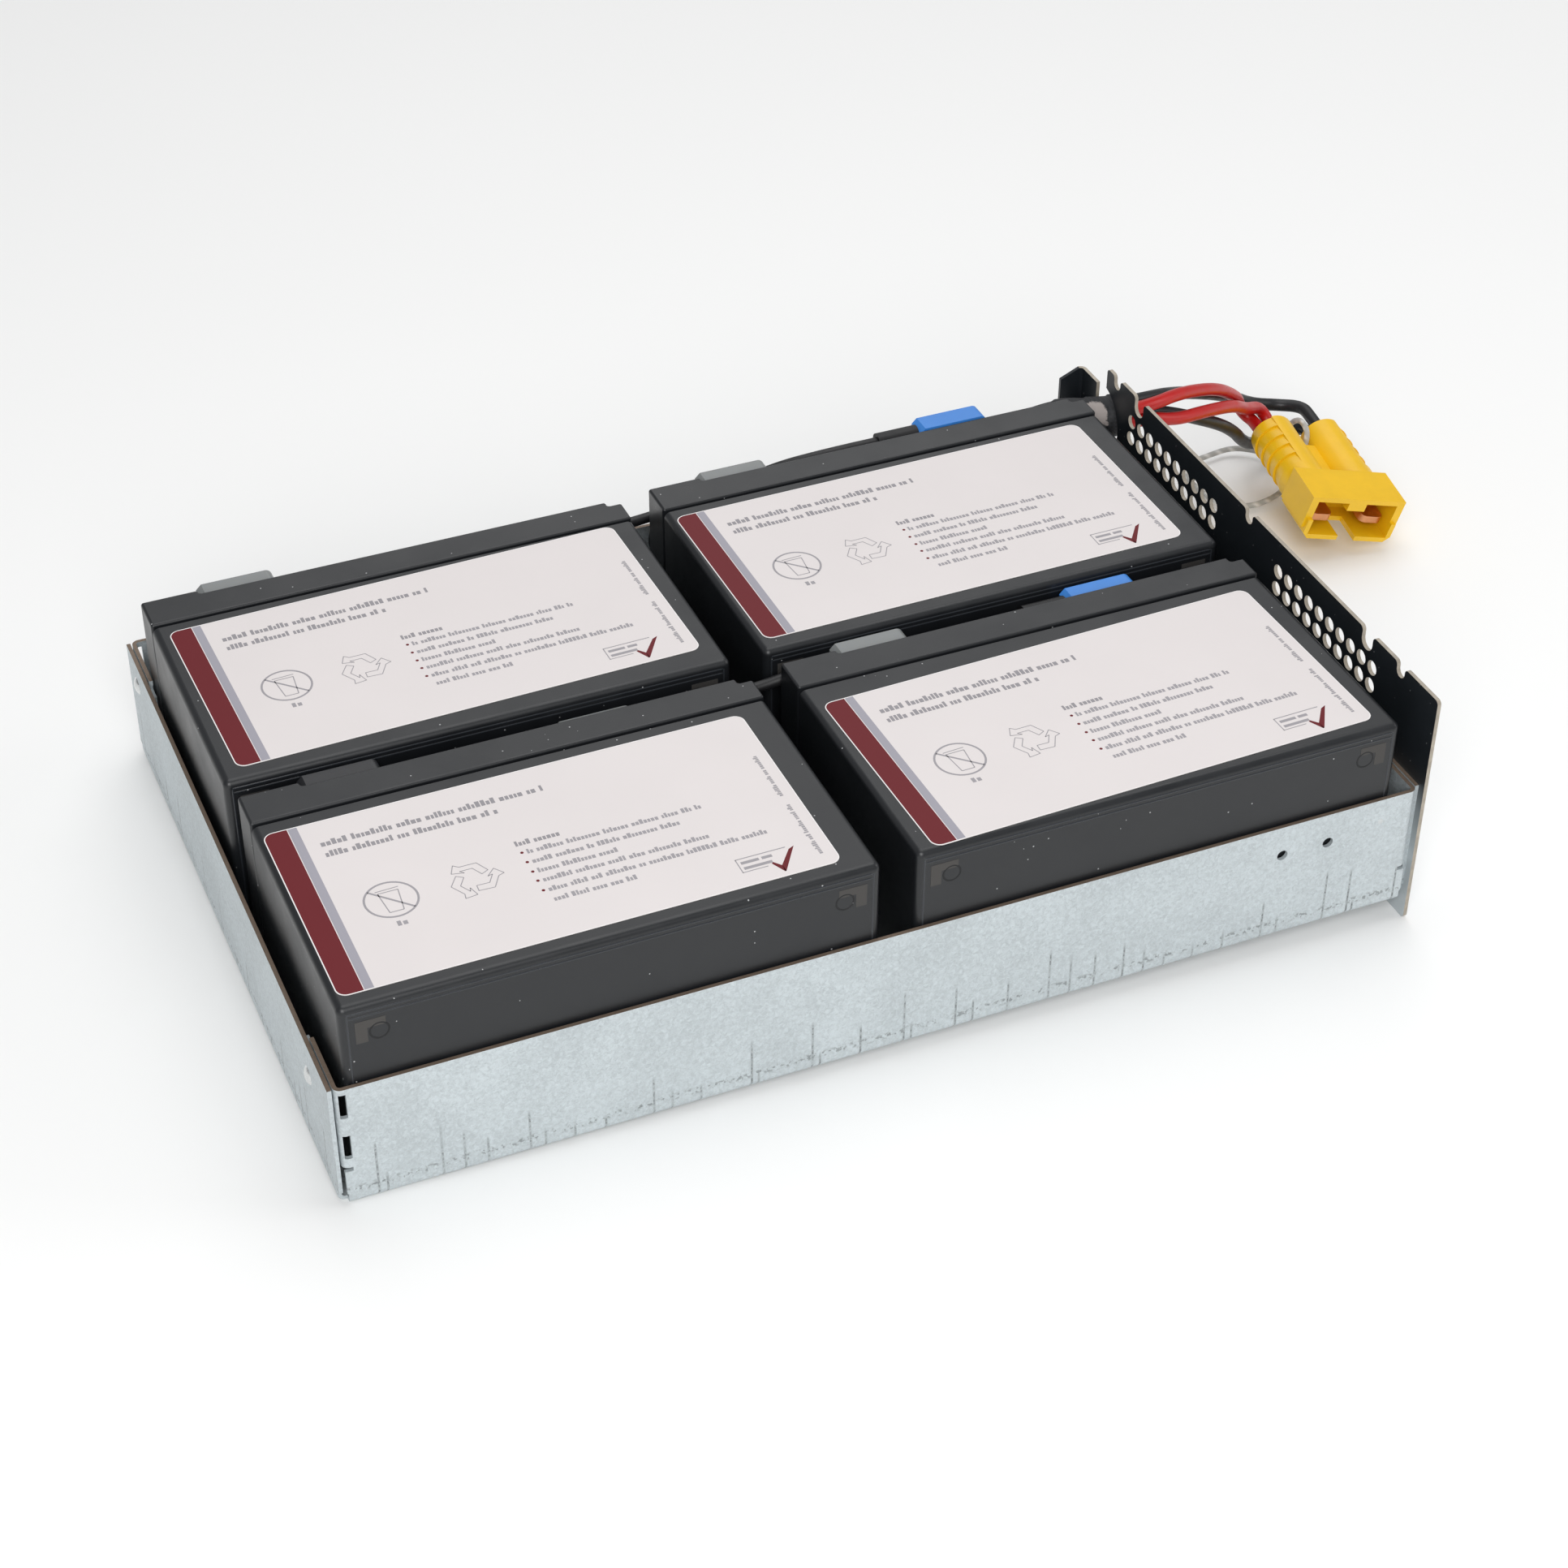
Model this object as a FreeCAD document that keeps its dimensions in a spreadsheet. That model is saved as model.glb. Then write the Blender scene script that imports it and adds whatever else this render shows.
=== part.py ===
"""Battery cartridge: a folded steel tray with four sealed batteries lying on their sides, a taller vented
end panel, and a wiring harness that leaves through the panel to a two-pole power connector.

Millimetres. +X runs along the tray to the end panel, +Y to the back, +Z up. Pieces are first placed in the
tray's own frame, whose corner is the outer left, front, bottom corner of the tray. Each kept piece is then
moved so that the origin lies under the middle of the cartridge, at the end panel's lower edge.
"""
import FreeCAD, Part
import math
import os
import re

SIZES = {
    # sheet metal
    "sheet_thick": 1.2, "bend_radius": 2.2, "wall_height": 41, "tab_gap": 0.4, "tab_length": 27,
    "tab_low": 13.3, "tab_step_long": 4.5, "tab_step_high": 3, "relief_high": 1.3, "relief_deep": 4.5,
    "corner_relief": 2.6, "corner_clear": 4, "left_set_back": 1, "right_set_back": 2,
    "bend_slot_wide": 2, "bend_slot_long": 8.2, "bend_slot_first": 16.5, "bend_slot_pitch": 14.5,
    "wall_hole_radius": 1.7, "wall_hole_end": 30.3, "wall_hole_pitch": 15, "wall_hole_high": 30.6,
    # batteries
    "battery_length": 151, "battery_height": 65, "case_depth": 80, "case_round": 2, "lid_depth": 14,
    "lid_proud": 0.7, "lid_round": 0.85, "groove_wide": 1, "groove_deep": 1.2,
    "lid_block_long": 17.5, "lid_right_long": 4.5, "lid_middle_back": 1.8, "lid_right_back": 4.2,
    "left_gap": 5, "right_gap": 9.7, "battery_gap": 10.5, "back_row_shift": 1.8,
    "front_gap": 1.8, "row_gap": 7.7, "back_gap": 18.5,
    # labels
    "label_long": 140, "label_wide": 70.9, "label_thick": 0.15, "label_round": 3,
    # terminals and their insulated connectors
    "tab_wide": 6.3, "tab_long": 6.35, "blade_thick": 0.8, "blade_clear": 0.2, "left_blade": 33.4,
    "right_blade": 109, "blade_drop": 7.5, "flag_long": 23.5, "flag_deep": 7, "flag_offset": 15.5,
    "flag_tall": 8.6, "low_flag_tall": 5, "flag_round": 2.2, "flag_taper": 1.7, "shrink_radius": 2.9,
    "shrink_long": 14, "shrink_drop": 3.4, "wire_radius": 1.7,
    # end panel
    "panel_drop": 7.5, "panel_height": 80, "panel_front": 0.6, "panel_flange": 9, "panel_corner": 1.5,
    "narrow_slot": 4.1, "narrow_slot_deep": 4.2, "wide_slot": 5.7, "wide_slot_deep": 6.2,
    "slot_a": 16.7, "slot_b": 33.9, "slot_c": 103.8, "slot_d_back": 41.9, "slot_e_back": 26,
    "vent_radius": 2.35, "vent_pitch": 6, "vent_row_pitch": 6.1, "vent_top": 10.2, "vent_front": 32.6,
    "vent_back": 35.3, "cable_hole_radius": 13, "cable_hole_back": 13.5, "cable_hole_drop": 19.8,
    "mouth_back": 10.5, "mouth_wide": 6.5, "corner_piece_drop": 8.8, "flange_slope": 3,
    # rivets
    "rivet_radius": 1.6, "rivet_head": 2.8, "rivet_rise": 1.1, "rivet_clear": 0.1,
    "rivet_front": 21.4, "rivet_front_high": 29.2, "rivet_back": 11.2, "rivet_back_high": 32.3,
    # harness
    "bundle_radius": 7.3, "lead_radius": 2.2, "cord_radius": 1,
    # power connector
    "plug_wide": 37.2, "plug_high": 16.2, "plug_body": 31.5, "plug_front": 48.8, "plug_lip": 50.2,
    "pole_half_gap": 10.3, "rib_pitch": 5.3, "rib_rise": 0.8, "pole_bore": 5.6, "bore_deep": 8,
    "tooth_depth": 5.4, "web_wide": 12,
    "web_low": 4, "web_high": 6.6, "web_start": 9, "shell_wall": 1.8, "lip_high": 7.6, "lip_inset": 1,
    "lip_chamfer": 2.2, "notch_wide": 7, "key_wide": 7, "key_high": 3, "contact_wide": 8.6,
    "contact_thick": 2.6, "contact_long": 20, "contact_low": 5, "plug_clear": 0.2,
    "plug_past_end": 90.5, "plug_past_back": 8, "plug_above_floor": 10.7,
}
VENTS = 10
RIBS = 5
BATTERY_DEPTH = "(case_depth + lid_depth)"
TRAY_LENGTH = "(left_gap + 2 * battery_length + battery_gap + right_gap)"
TRAY_DEPTH = f"(front_gap + 2 * {BATTERY_DEPTH} + row_gap + back_gap)"
BATTERY_TOP = "(sheet_thick + battery_height)"
PANEL_TOP = "(panel_height - panel_drop)"
ORIGIN = {"x": f"({TRAY_LENGTH} + sheet_thick) / 2", "y": f"({TRAY_DEPTH} + sheet_thick - panel_front) / 2",
          "z": "-panel_drop"}
PLUG_TURN = (174.95, -14.3, -5.67)      # yaw, pitch and roll of the connector as it lies
PLUG_PLACE = (f"{TRAY_LENGTH} + plug_past_end", f"{TRAY_DEPTH} + plug_past_back", "plug_above_floor - panel_drop")

doc = FreeCAD.newDocument("battery_cartridge")
sheet = doc.addObject("Spreadsheet::Sheet", "Sizes")
kept = []


def fill_sheet():
    """Writes each driving dimension in a cell of its own, under its alias."""
    for row, (alias, number) in enumerate(SIZES.items(), 1):
        sheet.set(f"A{row}", alias)
        sheet.set(f"B{row}", str(number))
        sheet.setAlias(f"B{row}", alias)
    doc.recompute()


def size(alias):
    return float(sheet.get(alias))


def formula(text):
    """Turns the size names in an expression into references to their cells."""
    return re.sub(r"[a-z][a-z_]+", lambda word: f"Sizes.{word[0]}" if word[0] in SIZES else word[0], str(text))


def bind(item, **links):
    """Binds properties of an object to expressions on the sizes."""
    for name, text in links.items():
        item.setExpression(name.replace("__", "."), formula(text))
    return item


def place(item, x="0", y="0", z="0"):
    return bind(item, Placement__Base__x=x, Placement__Base__y=y, Placement__Base__z=z)


def box(name, length, width, height, x="0", y="0", z="0"):
    """A block from its low corner: length along X, width along Y, height along Z."""
    item = doc.addObject("Part::Box", name)
    return place(bind(item, Length=length, Width=width, Height=height), x, y, z)


def turned(item, along):
    """Turns a round solid that stands along Z so that it runs along the axis given."""
    ways = {"X": (FreeCAD.Vector(0, 1, 0), 90), "Y": (FreeCAD.Vector(1, 0, 0), -90),
            "-X": (FreeCAD.Vector(0, 1, 0), -90), "Z": (FreeCAD.Vector(0, 0, 1), 0)}
    item.Placement = FreeCAD.Placement(FreeCAD.Vector(), FreeCAD.Rotation(*ways[along]))
    return item


def rod(name, radius, length, along, x="0", y="0", z="0"):
    """A cylinder that starts at the point and runs along +X, +Y or +Z."""
    item = turned(doc.addObject("Part::Cylinder", name), along)
    return place(bind(item, Radius=radius, Height=length), x, y, z)


def frustum(name, start_radius, end_radius, length, along, x="0", y="0", z="0"):
    item = turned(doc.addObject("Part::Cone", name), along)
    return place(bind(item, Radius1=start_radius, Radius2=end_radius, Height=length), x, y, z)


def join(name, *pieces):
    """One solid from pieces that share faces or overlap, with no seams left."""
    item = doc.addObject("Part::MultiFuse", name)
    item.Shapes = list(pieces)
    item.Refine = True
    doc.recompute()
    return item


def cut(name, base, *tools):
    item = doc.addObject("Part::Cut", name)
    item.Base = base
    item.Tool = tools[0] if len(tools) == 1 else join(f"{name}_tools", *tools)
    item.Refine = True
    doc.recompute()
    return item


def edges_of(item, along=None, **at):
    """Numbers of the edges that run along an axis and lie at the low or high end of the solid's extent."""
    doc.recompute()
    whole = item.Shape.BoundBox
    ends = {("x", "low"): whole.XMin, ("x", "high"): whole.XMax, ("y", "low"): whole.YMin,
            ("y", "high"): whole.YMax, ("z", "low"): whole.ZMin, ("z", "high"): whole.ZMax}
    found = []
    for number, edge in enumerate(item.Shape.Edges, 1):
        reach = edge.BoundBox
        spans = {"X": reach.XLength, "Y": reach.YLength, "Z": reach.ZLength}
        if along and (spans.pop(along) < 0.01 or max(spans.values()) > 0.01):
            continue
        lows = {"x": (reach.XMin, reach.XMax), "y": (reach.YMin, reach.YMax), "z": (reach.ZMin, reach.ZMax)}
        if all(max(abs(lows[axis][0] - ends[axis, end]), abs(lows[axis][1] - ends[axis, end])) < 0.01
               for axis, end in at.items()):
            found.append(number)
    return found


def rounded(name, base, radius, edges):
    """Rounds the edges to a radius: the name of a size, or a number worked out from sizes."""
    amount = size(radius) if isinstance(radius, str) else radius
    item = doc.addObject("Part::Fillet", name)
    item.Base = base
    item.Edges = [(number, amount, amount) for number in sorted(set(edges))]
    doc.recompute()
    return item


def chamfered(name, base, amount, edges):
    item = doc.addObject("Part::Chamfer", name)
    item.Base = base
    item.Edges = [(number, size(amount), size(amount)) for number in sorted(set(edges))]
    doc.recompute()
    return item


def keep(item, label, x="0", y="0", z="0"):
    """Labels a finished piece and places it, given in the tray's frame, in the cartridge's own frame."""
    item.Label = label
    place(item, f"{x} - {ORIGIN['x']}", f"{y} - {ORIGIN['y']}", f"{z} - {ORIGIN['z']}")
    kept.append(item)
    return item


# ---------------------------------------------------------------- tray


def channel(name, length, depth, height, along, x="0", y="0"):
    """A sheet folded up on two sides: a base with two walls, and bends along X or Y."""
    inner_radius = size("bend_radius") - size("sheet_thick")
    outer = box(f"{name}_outer", length, depth, height, x, y)
    outer = rounded(f"{name}_outer_bends", outer, "bend_radius",
                    edges_of(outer, along, z="low"))
    if along == "X":
        inner = box(f"{name}_inner", length, f"{depth} - 2 * sheet_thick", height, x, f"{y} + sheet_thick",
                    "sheet_thick")
    else:
        inner = box(f"{name}_inner", f"{length} - 2 * sheet_thick", depth, height, f"{x} + sheet_thick", y,
                    "sheet_thick")
    inner = rounded(f"{name}_inner_bends", inner, inner_radius, edges_of(inner, along, z="low"))
    return cut(name, outer, inner)


def corner_tabs():
    """The upper part of the front and back walls, whose ends turn inward as tabs behind the end walls."""
    inner_radius = size("bend_radius") - size("sheet_thick")
    start = "(sheet_thick + tab_gap)"
    high = "wall_height - tab_low"
    outer = box("ring_outer", f"{TRAY_LENGTH} - 2 * {start}", TRAY_DEPTH, high, start, "0", "tab_low")
    outer = rounded("ring_outer_bends", outer, "bend_radius", edges_of(outer, "Z"))
    inner = box("ring_inner", f"{TRAY_LENGTH} - 2 * {start} - 2 * sheet_thick",
                f"{TRAY_DEPTH} - 2 * sheet_thick", high, f"{start} + sheet_thick", "sheet_thick", "tab_low")
    inner = rounded("ring_inner_bends", inner, inner_radius, edges_of(inner, "Z"))
    middle = box("between_tabs", TRAY_LENGTH, f"{TRAY_DEPTH} - 2 * tab_length", high,
                 "0", "tab_length", "tab_low")
    step = box("tab_steps", TRAY_LENGTH, f"{TRAY_DEPTH} - 2 * tab_length + 2 * tab_step_long",
               "tab_step_high", "0", "tab_length - tab_step_long", "wall_height - tab_step_high")
    return cut("corner_tabs", outer, inner, middle, step)


def wall_cuts():
    """Relief slots below the corner tabs, slots in the left bends, and two holes in the front wall."""
    cuts = []
    for side, x in (("left", "0"), ("right", f"{TRAY_LENGTH} - relief_deep")):
        cuts.append(box(f"relief_{side}", "relief_deep", TRAY_DEPTH, "relief_high", x, "0",
                        "tab_low - relief_high"))
    for step in range(2):
        cuts.append(box(f"bend_slot_{step}", "bend_slot_wide", TRAY_DEPTH, "bend_slot_long",
                        "sheet_thick + tab_gap + 1", "0", f"bend_slot_first + {step} * bend_slot_pitch"))
        cuts.append(rod(f"wall_hole_{step}", "wall_hole_radius", "2 * bend_radius", "Y",
                        f"{TRAY_LENGTH} - wall_hole_end - {step} * wall_hole_pitch", "-bend_radius",
                        "wall_hole_high"))
    return cuts


def rivet_spots():
    """Height and place along Y of each rivet in an end wall."""
    return {"front": ("rivet_front", "rivet_front_high"), "back": (f"{TRAY_DEPTH} - rivet_back", "rivet_back_high")}


def make_tray():
    walls = join("front_and_back", channel("front_back", f"{TRAY_LENGTH} - 2 * bend_radius", TRAY_DEPTH,
                                           "tab_low", "X", "bend_radius"), corner_tabs())
    walls = cut("front_and_back_cut", walls, *wall_cuts())
    ends = channel("end_walls", TRAY_LENGTH, f"{TRAY_DEPTH} - 2 * corner_relief", "wall_height", "Y", "0",
                   "corner_relief")
    upper = "wall_height - corner_clear"
    left = box("left_wall_ends", "sheet_thick", f"{TRAY_DEPTH} - 2 * left_set_back", upper, "0",
               "left_set_back", "corner_clear")
    right = box("right_wall_ends", "sheet_thick", f"{TRAY_DEPTH} - 2 * right_set_back", upper,
                f"{TRAY_LENGTH} - sheet_thick", "right_set_back", "corner_clear")
    whole = join("tray_whole", walls, ends, left, right)
    cuts = []
    for side, x in (("left", "0"), ("right", f"{TRAY_LENGTH} - corner_relief")):
        for end, y in (("front", "0"), ("back", f"{TRAY_DEPTH} - corner_relief")):
            cuts.append(box(f"corner_{side}_{end}", "corner_relief", "corner_relief", "corner_clear", x, y))
    for side, x in (("left", "0"), ("right", f"{TRAY_LENGTH} - 2 * tab_gap - 2 * sheet_thick")):
        for end, (y, z) in rivet_spots().items():
            cuts.append(rod(f"rivet_hole_{side}_{end}", "rivet_radius + rivet_clear",
                            "2 * (sheet_thick + tab_gap)", "X", x, y, z))
    keep(cut("tray_cut", whole, *cuts), "tray")


# ---------------------------------------------------------------- end panel


def top_slot(name, y, wide, deep):
    """A slot in the panel's top edge, open above, with a round bottom."""
    back = f"{TRAY_LENGTH} - sheet_thick"
    straight = box(f"{name}_straight", "3 * sheet_thick", wide, deep, back, y, f"{PANEL_TOP} - {deep} + {wide} / 2")
    bottom = rod(f"{name}_bottom", f"{wide} / 2", "3 * sheet_thick", "X", back, f"{y} + {wide} / 2",
                 f"{PANEL_TOP} - {deep} + {wide} / 2")
    return [straight, bottom]


def vents():
    """Two groups of two rows of round holes."""
    holes = []
    starts = {"front": "vent_front", "back": f"{TRAY_DEPTH} - vent_back - {VENTS - 1} * vent_pitch"}
    for group, start in starts.items():
        for row in range(2):
            for step in range(VENTS):
                holes.append(rod(f"vent_{group}_{row}_{step}", "vent_radius", "3 * sheet_thick", "X",
                                 f"{TRAY_LENGTH} - sheet_thick", f"{start} + {step} * vent_pitch",
                                 f"{PANEL_TOP} - vent_top - {row} * vent_row_pitch"))
    return holes


def cable_hole():
    """A round hole with a flat back side and a mouth that opens it at the top."""
    flat = f"{TRAY_DEPTH} - mouth_back"
    start = f"{TRAY_LENGTH} - sheet_thick"
    centre_high = f"({PANEL_TOP} - cable_hole_drop)"
    circle = rod("cable_circle", "cable_hole_radius", "3 * sheet_thick", "X", start,
                 f"{TRAY_DEPTH} - cable_hole_back", centre_high)
    beyond = box("cable_beyond", "5 * sheet_thick", "2 * cable_hole_radius", "2 * cable_hole_radius",
                 f"{start} - sheet_thick", flat, f"{centre_high} - cable_hole_radius")
    mouth = box("cable_mouth", "3 * sheet_thick", "mouth_wide", "cable_hole_drop + sheet_thick", start,
                f"{flat} - mouth_wide", centre_high)
    return [cut("cable_opening", circle, beyond), mouth]


def make_panel():
    start = f"({TRAY_LENGTH} + sheet_thick - panel_flange)"
    outer = box("panel_outer", "panel_flange", f"{TRAY_DEPTH} + sheet_thick + panel_front", "panel_height",
                start, "-panel_front", "-panel_drop")
    outer = rounded("panel_bend_outer", outer, "bend_radius", edges_of(outer, "Z", x="high", y="high"))
    inner = box("panel_inner", "panel_flange - sheet_thick", f"{TRAY_DEPTH} + panel_front", "panel_height",
                start, "-panel_front", "-panel_drop")
    inner = rounded("panel_bend_inner", inner, size("bend_radius") - size("sheet_thick"),
                    edges_of(inner, "Z", x="high", y="high"))
    plate = cut("panel_plate", outer, inner)
    below = box("flange_end", "panel_flange - bend_radius", "2 * bend_radius", "panel_drop + sheet_thick",
                start, TRAY_DEPTH, "-panel_drop")
    above = box("corner_piece_top", "panel_flange", "mouth_back + sheet_thick", "corner_piece_drop",
                start, f"{TRAY_DEPTH} - mouth_back", f"{PANEL_TOP} - corner_piece_drop")
    slope = box("flange_slope", "2 * panel_flange", "2 * bend_radius", "corner_piece_drop", start,
                f"{TRAY_DEPTH} - sheet_thick", f"{PANEL_TOP} - corner_piece_drop - flange_slope")
    rise = math.degrees(math.atan2(size("flange_slope"), size("panel_flange") - size("bend_radius")))
    slope.Placement.Rotation = FreeCAD.Rotation(FreeCAD.Vector(0, 1, 0), -rise)
    slots = []
    for name, y, kind in (("slot_a", "slot_a", "narrow_slot"), ("slot_b", "slot_b", "wide_slot"),
                          ("slot_c", "slot_c", "narrow_slot"),
                          ("slot_d", f"{TRAY_DEPTH} - slot_d_back", "wide_slot"),
                          ("slot_e", f"{TRAY_DEPTH} - slot_e_back", "narrow_slot")):
        slots += top_slot(name, y, kind, f"{kind}_deep")
    rivet_holes = [rod(f"panel_rivet_hole_{end}", "rivet_radius + rivet_clear", "3 * sheet_thick", "X",
                       f"{TRAY_LENGTH} - sheet_thick", y, z) for end, (y, z) in rivet_spots().items()]
    edged = cut("panel_outline", plate, below, above, slope, *slots, *cable_hole())
    corners = edges_of(edged, "X", z="high") + edges_of(edged, "X", z="low", y="low")
    edged = rounded("panel_corners", edged, "panel_corner", corners)
    keep(cut("panel_cut", edged, *vents(), *rivet_holes), "end_panel")


# ---------------------------------------------------------------- rivets


def rivet(label, x, grip, y, z):
    """A rivet along X through sheets that start at x and are as thick together as the grip."""
    dome_radius = "((rivet_head ^ 2 + rivet_rise ^ 2) / (2 * rivet_rise))"
    cut_angle = f"asin(({dome_radius} - rivet_rise) / {dome_radius})"
    pieces = [rod(f"{label}_shank", "rivet_radius", grip, "X", x, y, z)]
    for way, face, inward in (("-X", x, "+"), ("X", f"{x} + {grip}", "-")):
        cap = turned(doc.addObject("Part::Sphere", f"{label}_head"), way)
        bind(cap, Radius=dome_radius, Angle1=cut_angle)
        pieces.append(place(cap, f"{face} {inward} ({dome_radius} - rivet_rise)", y, z))
    keep(join(f"{label}_whole", *pieces), label)


def make_rivets():
    tab_stack = "(2 * sheet_thick + tab_gap)"
    for end, (y, z) in rivet_spots().items():
        rivet(f"left_rivet_{end}", "0", tab_stack, y, z)
        rivet(f"panel_rivet_{end}", f"{TRAY_LENGTH} - {tab_stack}", f"({tab_stack} + sheet_thick)", y, z)


# ---------------------------------------------------------------- batteries


def battery_corners():
    """The low corner of each battery in the tray's frame."""
    back_y = f"front_gap + {BATTERY_DEPTH} + row_gap"
    second = "battery_length + battery_gap"
    return {"front_left": ("left_gap", "front_gap"), "front_right": (f"left_gap + {second}", "front_gap"),
            "back_left": ("left_gap - back_row_shift", back_y),
            "back_right": (f"left_gap - back_row_shift + {second}", back_y)}


def make_case(name, x, y):
    block = box(f"{name}_block", "battery_length", "case_depth", "battery_height")
    edges = edges_of(block, "Y") + edges_of(block, y="low")
    keep(rounded(f"{name}_case", block, "case_round", edges), f"{name}_case", x, y, "sheet_thick")


def make_lid(name, x, y):
    """A lid with a groove against the container, stepped back at its middle and right end."""
    start = "case_depth + groove_wide"
    high = "battery_height + lid_proud"
    neck = box(f"{name}_neck", "battery_length - 2 * groove_deep", "groove_wide",
               "battery_height - 2 * groove_deep", "groove_deep", "case_depth", "groove_deep")
    right = box(f"{name}_lid_right", "battery_length", "lid_depth - groove_wide - lid_right_back", high, "0", start)
    middle = box(f"{name}_lid_middle", "battery_length - lid_right_long",
                 "lid_depth - groove_wide - lid_middle_back", high, "0", start)
    block = box(f"{name}_lid_block", "lid_block_long", "lid_depth - groove_wide", high, "0", start)
    body = join(f"{name}_lid_body", right, middle, block)
    body = rounded(f"{name}_lid_round", body, "lid_round", edges_of(body, "Z") + edges_of(body, z="high"))
    keep(join(f"{name}_lid_whole", body, neck), f"{name}_lid", x, y, "sheet_thick")


def make_label(name, x, y, shift_x, shift_y, turn):
    """A stuck-on label: its centre lies off the container's centre, and it is a little askew."""
    plate = box(f"{name}_label_plate", "label_long", "label_wide", "label_thick", "-label_long / 2",
                "-label_wide / 2")
    plate = rounded(f"{name}_label_round", plate, "label_round", edges_of(plate, "Z"))
    plate.Placement.Rotation = FreeCAD.Rotation(FreeCAD.Vector(0, 0, 1), turn)
    keep(plate, f"{name}_label", f"{x} + battery_length / 2 + {shift_x}", f"{y} + case_depth / 2 + {shift_y}",
         "sheet_thick + battery_height")


LABELS = {"front_left": (-3.7, 0.5, 0.2), "front_right": (-1.2, -1.6, 1.7), "back_left": (-0.9, 2.5, 1.3),
          "back_right": (-3.2, 1.6, 0.6)}


def terminal(name, side, x, y, blade, tall, drop):
    """A blade terminal on the lid's back face, with an insulated connector pushed over it."""
    back = f"{BATTERY_DEPTH} - lid_middle_back"
    keep(box(f"{name}_{side}_blade", "tab_wide", "tab_long", "blade_thick"), f"{name}_{side}_blade",
         f"{x} + {blade}", f"{y} + {back}", f"{BATTERY_TOP} - blade_drop")
    body = box(f"{name}_{side}_body", "flag_long", "flag_deep", tall, "0", "0", "0")
    low = f"blade_drop - {drop} - {tall}"
    pocket = box(f"{name}_{side}_pocket", "tab_wide + 2 * blade_clear", "tab_long + blade_clear",
                 "blade_thick + 2 * blade_clear", "flag_offset - blade_clear", "0", f"-blade_clear - ({low})")
    shape = rounded(f"{name}_{side}_ends", body, "flag_round", edges_of(body, "Y", x="high"))
    shape = chamfered(f"{name}_{side}_taper", shape, "flag_taper", edges_of(shape, "Y", x="low"))
    keep(cut(f"{name}_{side}_hollow", shape, pocket), f"{name}_{side}_insulator",
         f"{x} + {blade} - flag_offset", f"{y} + {back} + blade_clear", f"{BATTERY_TOP} - {drop} - {tall}")


# how far each left connector lies under the battery's top, then the right one's height and its own drop
FLAGS = {"front_left": (1.9, "low_flag_tall", 5), "front_right": (1.4, "flag_tall", 1.8),
         "back_left": (1.4, "low_flag_tall", 5), "back_right": (1.4, "flag_tall", -1)}


def make_batteries():
    for name, (x, y) in battery_corners().items():
        make_case(name, x, y)
        make_lid(name, x, y)
        make_label(name, x, y, *LABELS[name])
        left_drop, right_tall, right_drop = FLAGS[name]
        terminal(name, "left", x, y, "left_blade", "flag_tall", left_drop)
        terminal(name, "right", x, y, "right_blade", right_tall, right_drop)
        if right_tall == "flag_tall":
            shrink = rod(f"{name}_shrink", "shrink_radius", "shrink_long", "X")
            keep(shrink, f"{name}_shrink_sleeve", f"{x} + right_blade - flag_offset - shrink_long",
                 f"{y} + {BATTERY_DEPTH} - lid_middle_back + blade_clear + flag_deep / 2",
                 f"{BATTERY_TOP} - {right_drop} - shrink_drop")


# ---------------------------------------------------------------- harness


def tube(label, radius, points, closed=False):
    """A round cord along straight runs joined by arcs that are as large as the runs allow."""
    knots = [FreeCAD.Vector(*point) for point in points]
    corners = knots if closed else knots[1:-1]
    count = len(knots)
    starts, ends, arcs, radii = [], [], [], []
    for step in range(len(corners)):
        here = step if closed else step + 1
        before, corner, after = knots[here - 1], knots[here], knots[(here + 1) % count]
        back_way, way = before - corner, after - corner
        turn = math.pi - back_way.getAngle(way)
        reach = 0.45 * min(back_way.Length, way.Length)
        radii.append(reach / math.tan(turn / 2))
        back_way.normalize()
        way.normalize()
        centre_way = back_way + way
        centre_way.normalize()
        middle = corner + centre_way * (radii[-1] / math.cos(turn / 2) - radii[-1])
        starts.append(corner + back_way * reach)
        ends.append(corner + way * reach)
        arcs.append(Part.Arc(starts[-1], middle, ends[-1]).toShape())
    edges = [] if closed else [Part.LineSegment(knots[0], starts[0]).toShape()]
    for step, arc in enumerate(arcs):
        edges.append(arc)
        if closed or step + 1 < len(arcs):
            edges.append(Part.LineSegment(ends[step], starts[(step + 1) % len(arcs)]).toShape())
    if not closed:
        edges.append(Part.LineSegment(ends[-1], knots[-1]).toShape())
    path = Part.Wire(edges)
    first = edges[0]
    ring = Part.Wire(Part.makeCircle(size(radius), first.Vertexes[0].Point, first.tangentAt(first.FirstParameter)))
    item = doc.addObject("Part::Feature", f"{label}_tube")
    item.Shape = path.makePipeShell([ring], True, False)
    wanted = math.pi * size(radius) ** 2 * path.Length
    print(label, "length", round(path.Length, 1), "radii", [round(number, 1) for number in radii],
          "volume share", round(item.Shape.Volume / wanted, 4))
    return keep(item, label)


def marks():
    """Where the batteries and walls beside the harness were drawn and where they lie now, along each axis."""
    left, length = size("left_gap"), size("battery_length")
    second = left + length + size("battery_gap")
    front, depth = size("front_gap"), size("case_depth") + size("lid_depth")
    back = front + depth + size("row_gap")
    top = size("sheet_thick") + size("battery_height")
    return ([(5, left), (135, left + 130), (156, left + length), (166.5, second), (296.5, second + 130),
             (317.5, second + length), (327.2, second + length + size("right_gap"))],
            [(1.8, front), (95.8, front + depth), (103.5, back), (197.5, back + depth),
             (216, back + depth + size("back_gap"))],
            [(1.2, size("sheet_thick")), (50, top - 16.2), (66.2, top)])


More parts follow.
